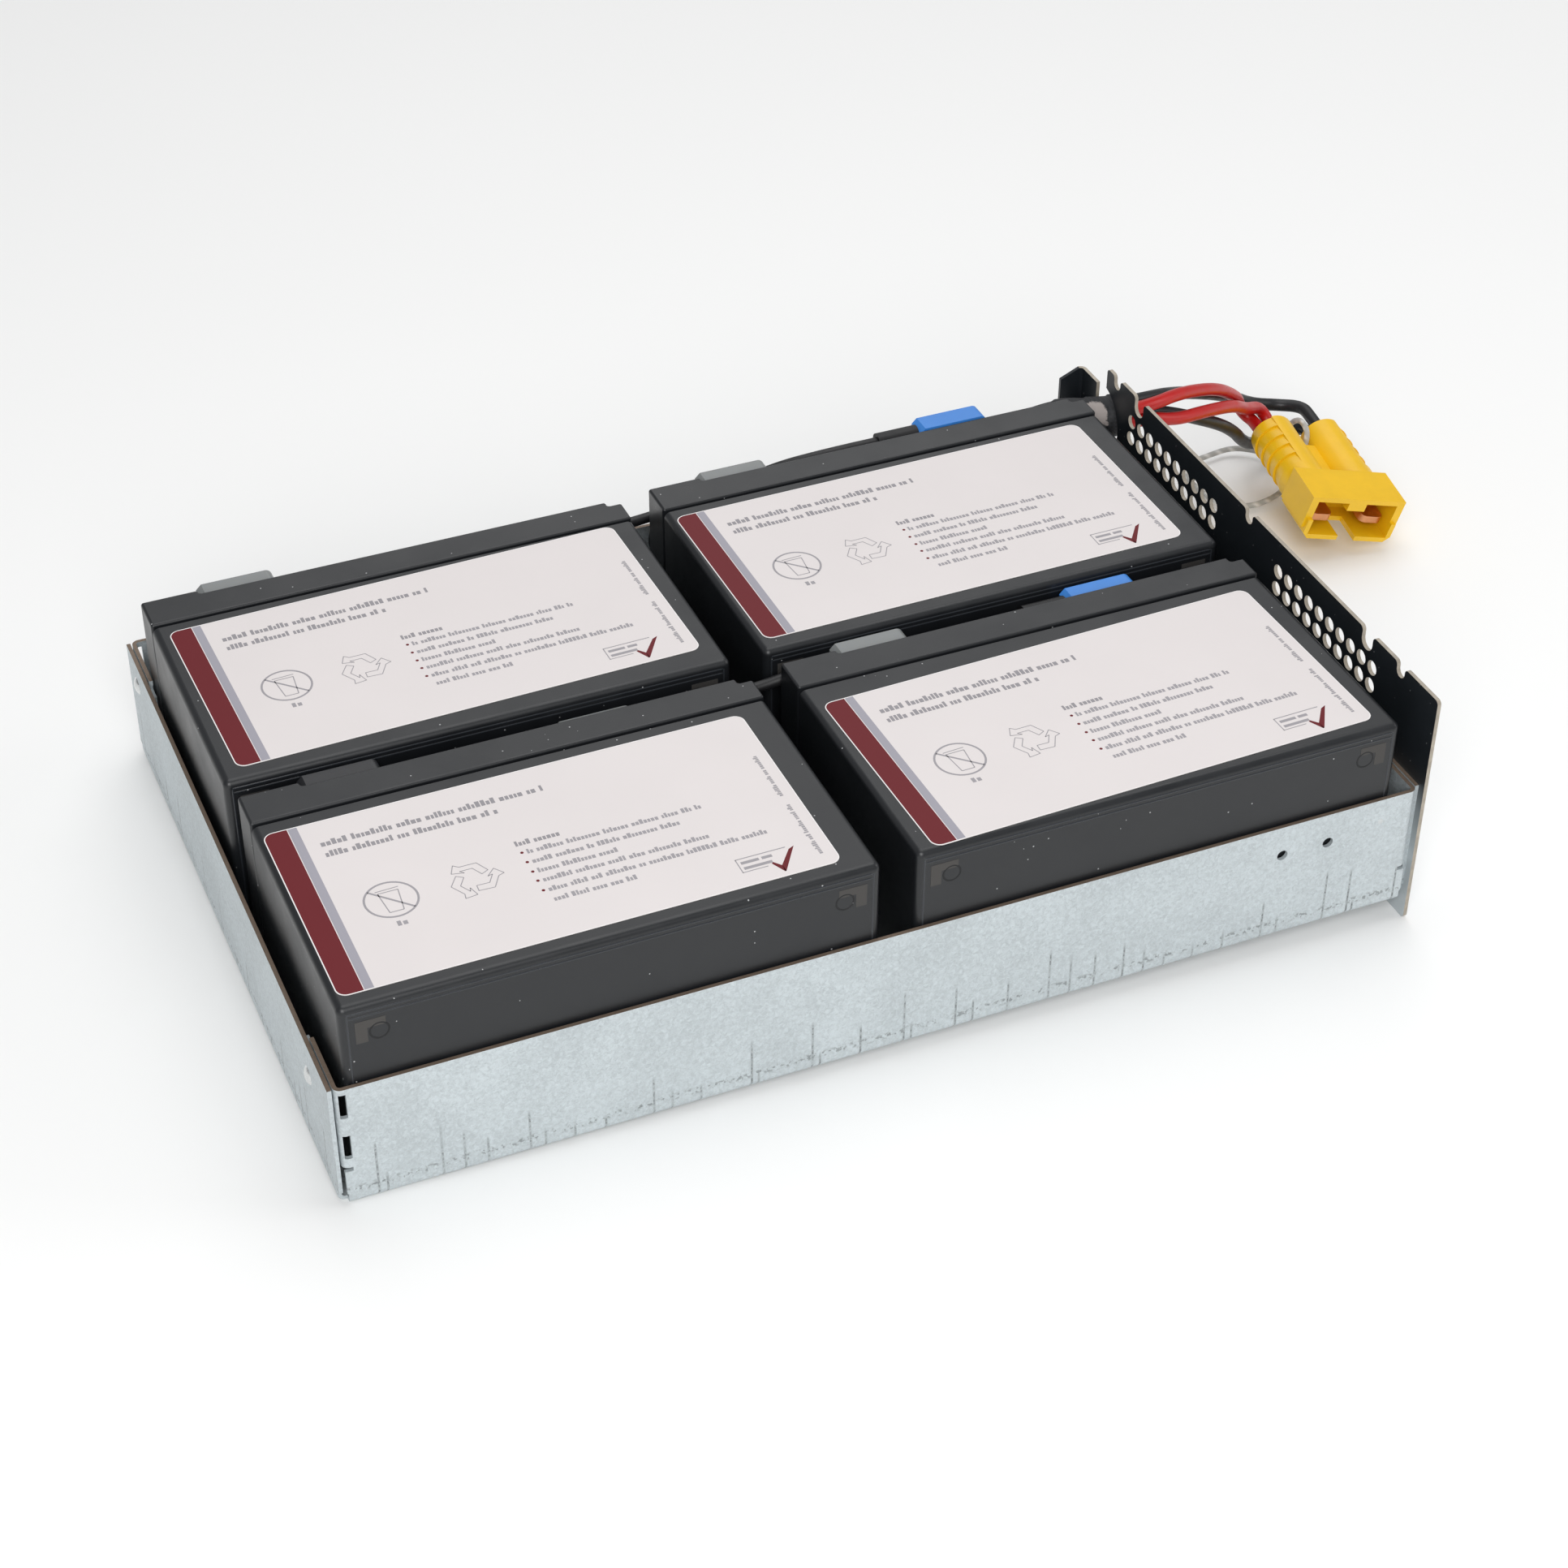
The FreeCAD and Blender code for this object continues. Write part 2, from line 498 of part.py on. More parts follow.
def along(number, spots):
    """A drawn coordinate moved with the spots on both sides of it, or with the last one when it is past them."""
    for (low, low_now), (high, high_now) in zip(spots, spots[1:]):
        if number <= high:
            return low_now + (number - low) * (high_now - low_now) / (high - low)
    return number + spots[-1][1] - spots[-1][0]


def beside_tray(points):
    """Points that follow the tray's length and depth."""
    along_x, along_y, _ = marks()
    return [(along(x, along_x), along(y, along_y), z) for x, y, z in points]


def beside_batteries(points):
    """Points that follow the batteries' height as well."""
    heights = marks()[2]
    return [(x, y, along(z, heights)) for x, y, z in beside_tray(points)]


BUNDLE = [(250, 206.4, 20), (262, 206.4, 20), (275, 206.4, 26.5), (286, 206.3, 37), (296.5, 206, 47),
          (306, 204.9, 52.4), (315.5, 202.2, 54.6), (324.5, 197.8, 54.6), (333, 197.8, 54.6)]
WIRES = {
    "front_right_positive_wire": [
        (246, 97.7, 61), (236, 97.7, 61), (225, 98.3, 60.2), (214, 98.6, 57), (204, 98.8, 51), (192, 98.9, 44),
        (178, 99, 38), (165, 99.3, 34), (159.6, 105, 32), (159.4, 120, 31), (159.6, 150, 29.4),
        (159.4, 180, 27), (160.5, 196, 25), (168, 205, 23.5), (182, 208.4, 22.8), (215, 209, 22.6),
        (249.7, 209, 22.6)],
    "front_left_negative_wire": [
        (22.9, 97.7, 60.5), (15, 97.7, 60.5), (9, 98.8, 53), (8.5, 99.4, 42), (13, 99.4, 31), (24, 99.4, 23),
        (45, 99.4, 18), (90, 99.6, 15.5), (128, 99.4, 14), (145, 99.2, 13.5), (156, 100.4, 13),
        (160.6, 109, 12.9), (159.8, 124, 12.8), (159.4, 150, 12.6), (159.6, 180, 12.4), (160.5, 196, 12.8), (168, 204, 14),
        (182, 206, 15.8), (215, 203.8, 17.3), (249.7, 203.8, 17.4)],
    "back_left_negative_wire": [
        (21.1, 199.4, 60.5), (13.5, 199.4, 60.5), (8, 201.5, 53), (7.5, 205, 42), (12, 208, 31), (24, 209.5, 21),
        (45, 210, 14), (90, 210, 11), (150, 210.5, 10.5), (175, 210.5, 11), (195, 210, 13.5),
        (215, 209, 16.5), (232, 209, 17.4), (249.7, 209, 17.4)],
    "back_right_negative_wire": [
        (182.6, 199.4, 60.5), (175, 199.4, 60.5), (169, 201.5, 52), (168, 204, 41), (173, 205, 32),
        (186, 204.4, 26), (205, 203.8, 23.4), (228, 203.9, 22.6), (249.7, 203.8, 22.6)],
    "back_link_wire": [
        (244.2, 199.4, 63.8), (234, 199.4, 63.8), (224, 200.6, 62.8), (213, 202.5, 61), (202, 206, 56.5),
        (188, 209, 51), (170, 210, 47.5), (150, 208.5, 47.5), (136, 203.5, 53), (128.5, 199.4, 58.7),
        (120.2, 199.4, 58.7)],
    "front_link_wire": [
        (184.4, 97.7, 60.5), (174, 97.7, 60.5), (160, 98.8, 57.6), (146, 98.8, 57.2), (133, 97.7, 58.7),
        (122, 97.7, 58.7)],
}
LEADS = {       # the route up to the connector, then the run into it as (x, y, z) in the connector's own frame
    "red_lead_upper": ([
        (333, 195.4, 57), (343, 195.4, 57), (358.5, 203.2, 53.9), (380.6, 216.2, 43.4), (394.5, 226, 31.7),
        (401.6, 234.3, 23.1), (403.8, 236.2, 18.5), (406.1, 235, 15.6)], [
        (12.9, -7.5, 7.6), (12.9, 8, 7.6)]),
    "red_lead_lower": ([
        (333, 195.4, 52.2), (342, 195.4, 52.2), (354, 197.4, 47.6), (370, 204.9, 43), (388.5, 216.8, 34.3),
        (399.9, 226.5, 24.7), (409.5, 233.8, 19.3), (412.3, 233, 15.9)], [
        (7.7, -6, 7.6), (7.7, 8, 7.6)]),
    "black_lead_upper": ([
        (333, 200.2, 57), (343, 200.2, 57), (358.2, 209, 50.7), (380, 223.4, 37.6), (401.8, 240.6, 21.8),
        (414.5, 245.4, 13), (424.5, 245.4, 10.2)], [
        (-9.8, -17, 9.6), (-10.3, -10.5, 10), (-10.3, 8, 10)]),
    "black_lead_lower": ([
        (333, 200.2, 52.2), (342, 200.2, 52.2), (354.6, 204.4, 46.4), (369.5, 210.4, 37.4), (384.4, 216.6, 27.6),
        (394, 222.5, 18.8), (400.5, 228.5, 11), (408, 234, 4), (417.5, 237, 1.6), (424.5, 237.5, 2.4)], [
        (-10, -12.4, 3.6), (-10.3, -6.5, 5.2), (-10.3, 8, 5.2)]),
}
GROUND_LOOP = [(420.8, 232, 2), (420, 236.5, -5), (417, 243.5, -6.2), (410, 248.6, -6.2), (399.5, 247, -6.2),
               (389.5, 245, -6.2), (384.8, 238, -6.2), (385.3, 226, -6.2), (388, 216.2, -6.2),
               (395.4, 211.8, -6.2), (404, 212.4, -6.2), (411.5, 214, -4.6)]


def in_plug(x, y, z):
    """A point given in the connector's own frame, in the tray's frame."""
    lengths, depths, _ = marks()
    corner = FreeCAD.Vector(lengths[-1][1] + size("plug_past_end"), depths[-1][1] + size("plug_past_back"),
                            size("plug_above_floor") - size("panel_drop"))
    return tuple(FreeCAD.Rotation(*PLUG_TURN).multVec(FreeCAD.Vector(x, y, z)) + corner)


def cord_route():
    """The pull cord's loop: out of the slot between the poles, over their rear, and back from below."""
    slot = size("web_start") - 1.3 * size("cord_radius")
    over = [in_plug(0, slot, 6), in_plug(0, slot, 11), in_plug(0, slot - 3.5, 14.6), in_plug(0, -2.5, 14),
            in_plug(0, -6.5, 8)]
    return over + beside_tray(GROUND_LOOP) + [in_plug(0, slot, 0), in_plug(0, slot, 5.5)]


def make_harness():
    tube("taped_bundle", "bundle_radius", beside_tray(BUNDLE))
    for label, points in WIRES.items():
        tube(label, "wire_radius", beside_batteries(points))
    for label, (route, entry) in LEADS.items():
        tube(label, "lead_radius", beside_tray(route) + [in_plug(*point) for point in entry])
    tube("pull_cord", "cord_radius", cord_route())


# ---------------------------------------------------------------- power connector


def make_plug():
    """Two ribbed round poles side by side, a web between them, and a hooded mouth in front."""
    turn = FreeCAD.Rotation(*PLUG_TURN)
    radius = "plug_high / 2"
    pieces = []
    for side, x in (("near", "pole_half_gap"), ("far", "-pole_half_gap")):
        teeth = [frustum(f"tooth_{side}_{step}", f"{radius} - rib_rise", radius, "rib_pitch", "Y", x,
                         f"{step} * rib_pitch", radius) for step in range(RIBS)]
        outer = {"near": f"{x} + {radius} - tooth_depth", "far": f"{x} - {radius} - tooth_depth"}[side]
        gaps = cut(f"tooth_gaps_{side}", box(f"tooth_row_{side}", "2 * tooth_depth", f"{RIBS} * rib_pitch",
                                             "plug_high", outer), *teeth)
        pieces.append(cut(f"pole_{side}", rod(f"pole_{side}_round", radius, "plug_body", "Y", x, "0", radius),
                          gaps))
    pieces.append(box("plug_web", "web_wide", "plug_body - web_start", "web_high", "-web_wide / 2", "web_start",
                      "web_low"))
    hood = box("plug_hood", "plug_wide", "plug_front - plug_body", "plug_high - lip_high / 2", "-plug_wide / 2",
               "plug_body", "lip_high / 2")
    lip = box("plug_lip", "plug_wide - 2 * lip_inset", "plug_lip - plug_body", "lip_high",
              "lip_inset - plug_wide / 2", "plug_body")
    lip = chamfered("plug_lip_corners", lip, "lip_chamfer", edges_of(lip, "Y", z="low"))
    body = join("plug_solid", *pieces, hood, lip)
    bores = []
    for side, x in (("near", "pole_half_gap"), ("far", "-pole_half_gap")):
        bores.append(rod(f"bore_{side}", "pole_bore", "bore_deep", "Y", x, "0", radius))
        bores.append(box(f"contact_room_{side}", "contact_wide + 2 * plug_clear", "4 * shell_wall",
                         "contact_thick + 2 * plug_clear", f"{x} - contact_wide / 2 - plug_clear",
                         "plug_body - 3 * shell_wall", "contact_low - plug_clear"))
    mouth = box("plug_mouth", "plug_wide - 2 * shell_wall - 2 * lip_inset", "plug_lip - plug_body",
                "plug_high - 2 * shell_wall", "shell_wall + lip_inset - plug_wide / 2",
                "plug_body + shell_wall", "shell_wall")
    notch = box("plug_notch", "notch_wide", "plug_lip - plug_body", "2 * shell_wall", "-notch_wide / 2",
                "plug_body + 4 * shell_wall", "0")
    hollow = cut("plug_hollow", body, *bores, mouth, notch)
    key = box("plug_key", "key_wide", "plug_front - plug_body - shell_wall", "key_high", "-key_wide / 2",
              "plug_body + shell_wall", "plug_high - shell_wall - key_high")
    housing = join("plug_housing", hollow, key)
    housing.Placement.Rotation = turn
    keep(housing, "connector_housing", *PLUG_PLACE)
    for side, x in (("near", "pole_half_gap"), ("far", "-pole_half_gap")):
        blade = box(f"contact_{side}_blade", "contact_wide", "contact_long", "contact_thick",
                    f"{x} - contact_wide / 2", "plug_body - 3 * shell_wall", "contact_low")
        blade = rounded(f"contact_{side}_nose", blade, "lip_chamfer", edges_of(blade, "Z", y="high"))
        blade.Placement.Rotation = turn
        keep(blade, f"contact_{side}", *PLUG_PLACE)


# ---------------------------------------------------------------- build and write


def check():
    """Stops if an object failed or a kept shape isn't one valid solid."""
    faults = [f"{item.Name} failed" for item in doc.Objects if {"Invalid", "Error"} & set(item.State)]
    for item in kept:
        if item.Shape.isNull() or not item.Shape.isValid() or len(item.Shape.Solids) != 1:
            faults.append(f"{item.Label} isn't one valid solid")
    if faults:
        raise RuntimeError("; ".join(faults))


fill_sheet()
make_tray()
make_panel()
make_rivets()
make_batteries()
make_harness()
make_plug()
doc.recompute()
check()
os.makedirs("parts", exist_ok=True)
for item in kept:
    item.Shape.exportStep(f"parts/{item.Label}.step")
print(len(kept), "pieces")
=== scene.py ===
"""Dresses the battery cartridge: zinc-coated tray and end panel, four moulded batteries with printed
labels, the wiring harness and its yellow two-pole connector. Metres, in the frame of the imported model.
"""
import math
import random

import bpy
import bmesh
from mathutils import Matrix, Vector


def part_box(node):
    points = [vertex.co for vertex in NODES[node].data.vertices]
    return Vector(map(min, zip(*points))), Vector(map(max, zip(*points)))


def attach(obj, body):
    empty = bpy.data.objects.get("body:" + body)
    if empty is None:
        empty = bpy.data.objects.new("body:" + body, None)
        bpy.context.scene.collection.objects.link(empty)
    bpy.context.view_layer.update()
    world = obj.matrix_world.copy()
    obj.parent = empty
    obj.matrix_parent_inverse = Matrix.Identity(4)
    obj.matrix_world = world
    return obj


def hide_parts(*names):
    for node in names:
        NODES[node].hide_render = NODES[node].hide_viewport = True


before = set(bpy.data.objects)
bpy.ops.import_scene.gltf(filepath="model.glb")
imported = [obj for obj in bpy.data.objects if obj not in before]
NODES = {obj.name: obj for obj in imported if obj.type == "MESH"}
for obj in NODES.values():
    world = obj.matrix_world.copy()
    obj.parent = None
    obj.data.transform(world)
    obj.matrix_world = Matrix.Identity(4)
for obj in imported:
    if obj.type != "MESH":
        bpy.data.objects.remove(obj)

bl_info = {
    "name": "Battery cartridge",
    "version": (1, 0, 0),
    "blender": (4, 5, 0),
    "location": "3D View > Sidebar > Cartridge",
    "description": "Finishes the battery cartridge piece by piece",
    "category": "Object",
}

MM = 0.001
BATTERIES = ("front_left", "front_right", "back_left", "back_right")

# the camera's place, and its azimuth, height and roll in degrees
CAMERA_PLACE = (-0.28658, -0.68705, 0.60403)
CAMERA_TURN = (-23.279, 38.039, 0.306)
SENSOR_WIDE = 36
# each lamp's name, place, aim, size and share of the power
LAMPS = (
    ("key", (-0.5, -1.25, 1.0), (-0.05, -0.1, 0), 1.0, 0.75),
    ("fill", (1.5, -0.4, 0.7), (0, 0, 0.03), 0.9, 0.2),
    ("back", (0.9, 2.0, 1.5), (0, 0, 0), 1.6, 0.3),
    ("top", (0.25, 0.35, 1.7), (0, 0, 0), 1.3, 0.48),
)

# a label's outline in millimetres, and how far each is stuck on askew in degrees
LABEL_WIDE, LABEL_HIGH, LABEL_CORNER, LABEL_RIM = 140.0, 70.9, 3.0, 0.3
LABEL_TURN = {"front_left": 0.2, "front_right": 1.7, "back_left": 1.3, "back_right": 0.6}
WINE, STRIPE, RULE, RIM, BOLD = range(5)

# the centre lines of the leads, the pull cord and the taped bundle
ROUTES = {
    "red_lead_upper": [
        (0.1688, 0.0871, 0.0645), (0.1788, 0.0871, 0.0645), (0.1943, 0.0949, 0.0614),
        (0.2164, 0.1079, 0.0509), (0.2303, 0.1177, 0.0392), (0.2374, 0.1260, 0.0306),
        (0.2396, 0.1279, 0.0260), (0.2419, 0.1267, 0.0231), (0.2437, 0.1233, 0.0219),
        (0.2419, 0.1080, 0.0204)],
    "red_lead_lower": [
        (0.1688, 0.0871, 0.0597), (0.1778, 0.0871, 0.0597), (0.1898, 0.0891, 0.0551),
        (0.2058, 0.0966, 0.0505), (0.2243, 0.1085, 0.0418), (0.2357, 0.1182, 0.0322),
        (0.2453, 0.1255, 0.0268), (0.2481, 0.1247, 0.0234), (0.2485, 0.1214, 0.0205),
        (0.2470, 0.1075, 0.0192)],
    "black_lead_upper": [
        (0.1688, 0.0919, 0.0645), (0.1788, 0.0919, 0.0645), (0.1940, 0.1007, 0.0582),
        (0.2158, 0.1151, 0.0451), (0.2376, 0.1323, 0.0293), (0.2503, 0.1371, 0.0205),
        (0.2603, 0.1371, 0.0177), (0.2671, 0.1305, 0.0192), (0.2670, 0.1240, 0.0188),
        (0.2649, 0.1057, 0.0170)],
    "black_lead_lower": [
        (0.1688, 0.0919, 0.0597), (0.1778, 0.0919, 0.0597), (0.1904, 0.0961, 0.0539),
        (0.2053, 0.1021, 0.0449), (0.2202, 0.1083, 0.0351), (0.2298, 0.1142, 0.0263),
        (0.2363, 0.1202, 0.0185), (0.2438, 0.1257, 0.0115), (0.2533, 0.1287, 0.0091),
        (0.2603, 0.1292, 0.0099), (0.2654, 0.1267, 0.0129), (0.2654, 0.1206, 0.0138),
        (0.2638, 0.1063, 0.0124)],
}
PULL_CORD = [
    (0.2541, 0.1074, 0.0157), (0.2552, 0.1068, 0.0206), (0.2565, 0.1098, 0.0244), (0.2571, 0.1165, 0.0244),
    (0.2561, 0.1212, 0.0190), (0.2566, 0.1237, 0.0095), (0.2558, 0.1282, 0.0025), (0.2528, 0.1352, 0.0013),
    (0.2458, 0.1403, 0.0013), (0.2353, 0.1387, 0.0013), (0.2253, 0.1367, 0.0013), (0.2206, 0.1297, 0.0013),
    (0.2211, 0.1177, 0.0013), (0.2238, 0.1079, 0.0013), (0.2312, 0.1035, 0.0013), (0.2398, 0.1041, 0.0013),
    (0.2473, 0.1057, 0.0029), (0.2526, 0.1081, 0.0100), (0.2539, 0.1074, 0.0153)]
BUNDLE = [
    (0.0858, 0.0981, 0.0275), (0.0978, 0.0981, 0.0275), (0.1108, 0.0981, 0.0340), (0.1218, 0.0980, 0.0445),
    (0.1323, 0.0977, 0.0545), (0.1418, 0.0966, 0.0599), (0.1513, 0.0939, 0.0621), (0.1603, 0.0895, 0.0621),
    (0.1688, 0.0895, 0.0621)]
# where a pale patch on the bundle's tape is a painted highlight, beside the cable hole
PAINTED_HIGHLIGHT_SPOT = (0.1575, 0.0853, 0.0673)


def linear(code):
    """An sRGB hex colour as linear red, green, blue and alpha."""
    parts = [int(code[i:i + 2], 16) / 255 for i in (1, 3, 5)]
    return tuple(p / 12.92 if p <= 0.04045 else ((p + 0.055) / 1.055) ** 2.4 for p in parts) + (1.0,)


def colour(name, code, about):
    """A colour property with its default."""
    return bpy.props.FloatVectorProperty(name=name, description=about, default=linear(code), size=4,
                                         min=0, max=1, subtype="COLOR")


def length(name, millimetres, about):
    """A length property with its default in metres."""
    return bpy.props.FloatProperty(name=name, description=about, default=millimetres * MM, min=0,
                                   unit="LENGTH")


class CartridgeFinish(bpy.types.PropertyGroup):
    """Colours and fine sizes of the sheet metal, the mouldings and the labels."""
    zinc: colour("Zinc", "#C3CBCE", "Hot-dip zinc of the tray")
    coating: colour("Coating", "#1D2125", "Dark coating on the end panel's inner side")
    cut_edge: colour("Cut edge", "#A39A8C", "Bare sheared edge of the sheet")
    case: colour("Case", "#191B1E", "Battery container and lid")
    film: colour("Label film", "#DAD4D3", "Face of the labels")
    film_edge: colour("Label edge", "#E9E6E5", "Unprinted rim of the labels")
    wine: colour("Wine stripe", "#640D17", "Broad stripe at the labels' left end")
    grey_stripe: colour("Grey stripe", "#9C9AA3", "Narrow stripe beside it")
    print_grey: colour("Print", "#9A979B", "Grey rules on the labels")
    stripe_wide: length("Stripe width", 6.9, "Width of the wine stripe")
    crackle: length("Zinc crackle", 1.2, "Size of the crackle in the zinc")


class CartridgeHarness(bpy.types.PropertyGroup):
    """Colours and sizes of the leads, the connector and the cord."""
    red: colour("Red lead", "#B5120F", "Insulation of the two positive leads")
    black: colour("Black lead", "#1C1C1E", "Insulation of the two negative leads")
    tape: colour("Tape", "#1B1C1F", "Cloth tape round the bundle")
    yellow: colour("Connector", "#EBBB12", "Moulded connector housing")
    blue: colour("Blue sleeve", "#3880D0", "Insulated receptacles")
    clear: colour("Clear sleeve", "#7C7F7F", "Uncoloured receptacles")
    cord: colour("Cord", "#C9C8C3", "Braided pull cord")
    lead_diameter: length("Lead diameter", 4.4, "Over the insulation")
    cord_diameter: length("Cord diameter", 2.0, "Over the braid")


class CartridgeStage(bpy.types.PropertyGroup):
    """Camera, floor and light."""
    floor: colour("Floor", "#F4F4F3", "Plain pale floor")
    lens: bpy.props.FloatProperty(name="Lens", description="Focal length for a 36 mm sensor",
                                  default=71.7, min=10, unit="CAMERA")
    power: bpy.props.FloatProperty(name="Light", description="Power that each lamp has a share of",
                                   default=24, min=0, unit="POWER")


# ---------------------------------------------------------------- pieces


def dress(material, *names):
    """Gives CAD nodes a material."""
    for name in names:
        slots = NODES[name].data.materials
        slots.clear()
        slots.append(material)


def seat(name, data):
    """Puts a mesh or a curve on the cartridge as a piece."""
    piece = bpy.data.objects.new(name, data)
    bpy.context.scene.collection.objects.link(piece)
    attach(piece, "root")
    return piece


def mesh_piece(name, work, materials, smooth):
    """Turns a finished bmesh into a piece."""
    mesh = bpy.data.meshes.new(name)
    work.to_mesh(mesh)
    work.free()
    for face in mesh.polygons:
        face.use_smooth = smooth
    for material in materials:
        mesh.materials.append(material)
    return seat(name, mesh)


def solid_piece(name, work, material, smooth=True):
    """Turns a bmesh into a piece whose faces look outwards."""
    bmesh.ops.recalc_face_normals(work, faces=work.faces)
    return mesh_piece(name, work, [material], smooth)


def printed_piece(name, shapes, height, inks):
    """A printed layer at one height, facing up: each shape is (ink, ring of points)."""
    work = bmesh.new()
    for ink, ring in shapes:
        face = work.faces.new([work.verts.new((x, y, height)) for x, y in ring])
        face.material_index = ink
    work.normal_update()
    for face in work.faces:
        if face.normal.z < 0:
            face.normal_flip()
    return mesh_piece(name, work, inks, smooth=False)


def skin(work, rows, closed=True):
    """Quads between each row of corners and the next."""
    for near, far in zip(rows, rows[1:]):
        count = len(near)
        for here in range(count if closed else count - 1):
            there = (here + 1) % count
            work.faces.new((near[here], near[there], far[there], far[here]))


# ---------------------------------------------------------------- flat shapes


def bar(x0, y0, x1, y1):
    """A rectangle's ring of corners."""
    return [(x0, y0), (x1, y0), (x1, y1), (x0, y1)]


def stroke(ax, ay, bx, by, wide):
    """A straight line with a width, as a ring."""
    way = Vector((bx - ax, by - ay)).normalized() * wide / 2
    return [(ax + way.y, ay - way.x), (bx + way.y, by - way.x),
            (bx - way.y, by + way.x), (ax - way.y, ay + way.x)]


def closed_line(points, wide):
    """Strokes from each point to the next and back to the first."""
    return [stroke(*one, *two, wide) for one, two in zip(points, points[1:] + points[:1])]


def around(cx, cy, radius, count):
    """Points round a circle."""
    angles = [2 * math.pi * step / count for step in range(count)]
    return [(cx + radius * math.cos(angle), cy + radius * math.sin(angle)) for angle in angles]


def band(outer, inner):
    """Quads between two rings with the same number of points."""
    steps = [(here, (here + 1) % len(outer)) for here in range(len(outer))]
    return [[outer[here], outer[there], inner[there], inner[here]] for here, there in steps]


def rounded_outline(wide, high, radius, low, steps=6):
    """A rectangle with rounded corners, its low left corner at (low, low)."""
    points = []
    for cx, cy, first in ((wide - radius, radius, -90), (wide - radius, high - radius, 0),
                          (radius, high - radius, 90), (radius, radius, 180)):
        for step in range(steps + 1):
            angle = math.radians(first + 90 * step / steps)
            points.append((low + cx + radius * math.cos(angle), low + cy + radius * math.sin(angle)))
    return points


# ---------------------------------------------------------------- cords and tape


def route_curve(name, points, fineness):
    """A curve of one smooth spline that a route's points control."""
    curve = bpy.data.curves.new(name, "CURVE")
    curve.dimensions = "3D"
    curve.resolution_u = fineness
    spline = curve.splines.new("NURBS")
    spline.points.add(len(points) - 1)
    for point, place in zip(spline.points, points):
        point.co = (*place, 1)
    spline.order_u = 3
    spline.use_endpoint_u = True
    return curve


def spline_line(points):
    """Points along the smooth line that a route's points control."""
    curve = route_curve("route", points, 12)
    holder = bpy.data.objects.new("route", curve)
    line = bpy.data.meshes.new_from_object(holder)
    found = [vertex.co.copy() for vertex in line.vertices]
    bpy.data.objects.remove(holder)
    bpy.data.curves.remove(curve)
    bpy.data.meshes.remove(line)
    return found


def cord_piece(name, points, diameter, material):
    """A round cord along a route."""
    curve = route_curve(name, points, 16)
    curve.bevel_depth = diameter / 2
    curve.bevel_resolution = 8
    curve.use_fill_caps = True
    curve.materials.append(material)
    return seat(name, curve)


def wrapped_tube(work, line, radius, pitch, lap_high, corners=40):
    """A tube whose skin steps up along a helix, as tape does where it laps over itself."""
    run, lump_high = 0.5 * MM, 0.12 * MM
    fine = []
    for first, second in zip(line, line[1:]):
        count = max(1, round((second - first).length / run))
        fine += [first.lerp(second, step / count) for step in range(count)]
    fine.append(line[-1])
    side = Vector((0, 0, 1))
    travelled = 0.0
    rings = []
    for index, here in enumerate(fine):
        way = (fine[min(index + 1, len(fine) - 1)] - fine[max(index - 1, 0)]).normalized()
        side = (side - way * side.dot(way)).normalized()
        across = way.cross(side)
        if index:
            travelled += (here - fine[index - 1]).length
        ring = []
        for corner in range(corners):
            angle = 2 * math.pi * corner / corners
            lap = (travelled / pitch + angle / (2 * math.pi)) % 1.0
            # the wires inside push the tape out here and there
            lump = lump_high * math.sin(3 * angle + travelled * 190) * math.sin(travelled * 310 + angle)
            reach = radius - lap_high * min(1.0, lap * 1.15) + lump
            ring.append(work.verts.new(here + (side * math.cos(angle) + across * math.sin(angle)) * reach))
        rings.append(ring)
    skin(work, rings)
    work.faces.new(rings[0])
    work.faces.new(reversed(rings[-1]))


# ---------------------------------------------------------------- nodes


def add(tree, kind, inputs=None, **settings):
    """Adds one node with its settings, and links or sets each named input."""
    item = tree.nodes.new(kind)
    for name, value in settings.items():
        setattr(item, name, value)
    for name, value in (inputs or {}).items():
        if isinstance(value, bpy.types.NodeSocket):
            tree.links.new(value, item.inputs[name])
        else:
            item.inputs[name].default_value = value
    return item


def calc(tree, operation, first, second=None, **settings):
    """The result of one sum, product or comparison."""
    inputs = {0: first} if second is None else {0: first, 1: second}
    return add(tree, "ShaderNodeMath", inputs, operation=operation, **settings).outputs["Value"]


def ramp(tree, value, low, high, at_low=0.0, at_high=1.0):
    """A value carried from one range to another, and held at both ends."""
    return add(tree, "ShaderNodeMapRange", {"Value": value, "From Min": low, "From Max": high,
                                            "To Min": at_low, "To Max": at_high}).outputs["Result"]


def blend(tree, factor, first, second):
    """Two colours mixed by a factor."""
    return add(tree, "ShaderNodeMix", {"Factor": factor, "A": first, "B": second},
               data_type="RGBA").outputs["Result"]


def shade(tint, share):
    """A colour made darker or lighter by a share."""
    return tuple(min(1.0, part * share) for part in tint[:3]) + (1.0,)


def mottle(tree, factor, tint, dark, light):
    """A tint that goes from a darker to a lighter share of itself by a factor."""
    return blend(tree, factor, shade(tint, dark), shade(tint, light))


def noise(tree, where, size, detail=2.0, rough=0.5, distortion=0.0):
    """Cloudy noise whose patches are about as large as a size."""
    return add(tree, "ShaderNodeTexNoise", {
        "Vector": where.outputs["Object"], "Scale": 1 / size, "Detail": detail, "Roughness": rough,
        "Distortion": distortion}).outputs["Fac"]


def wave(tree, vector, size, direction, distortion):
    """Soft bands: 0.31 of the size apart along X or Z, and 0.63 of it along each axis for DIAGONAL."""
    return add(tree, "ShaderNodeTexWave", {"Vector": vector, "Scale": 1 / size, "Distortion": distortion},
               bands_direction=direction).outputs["Fac"]


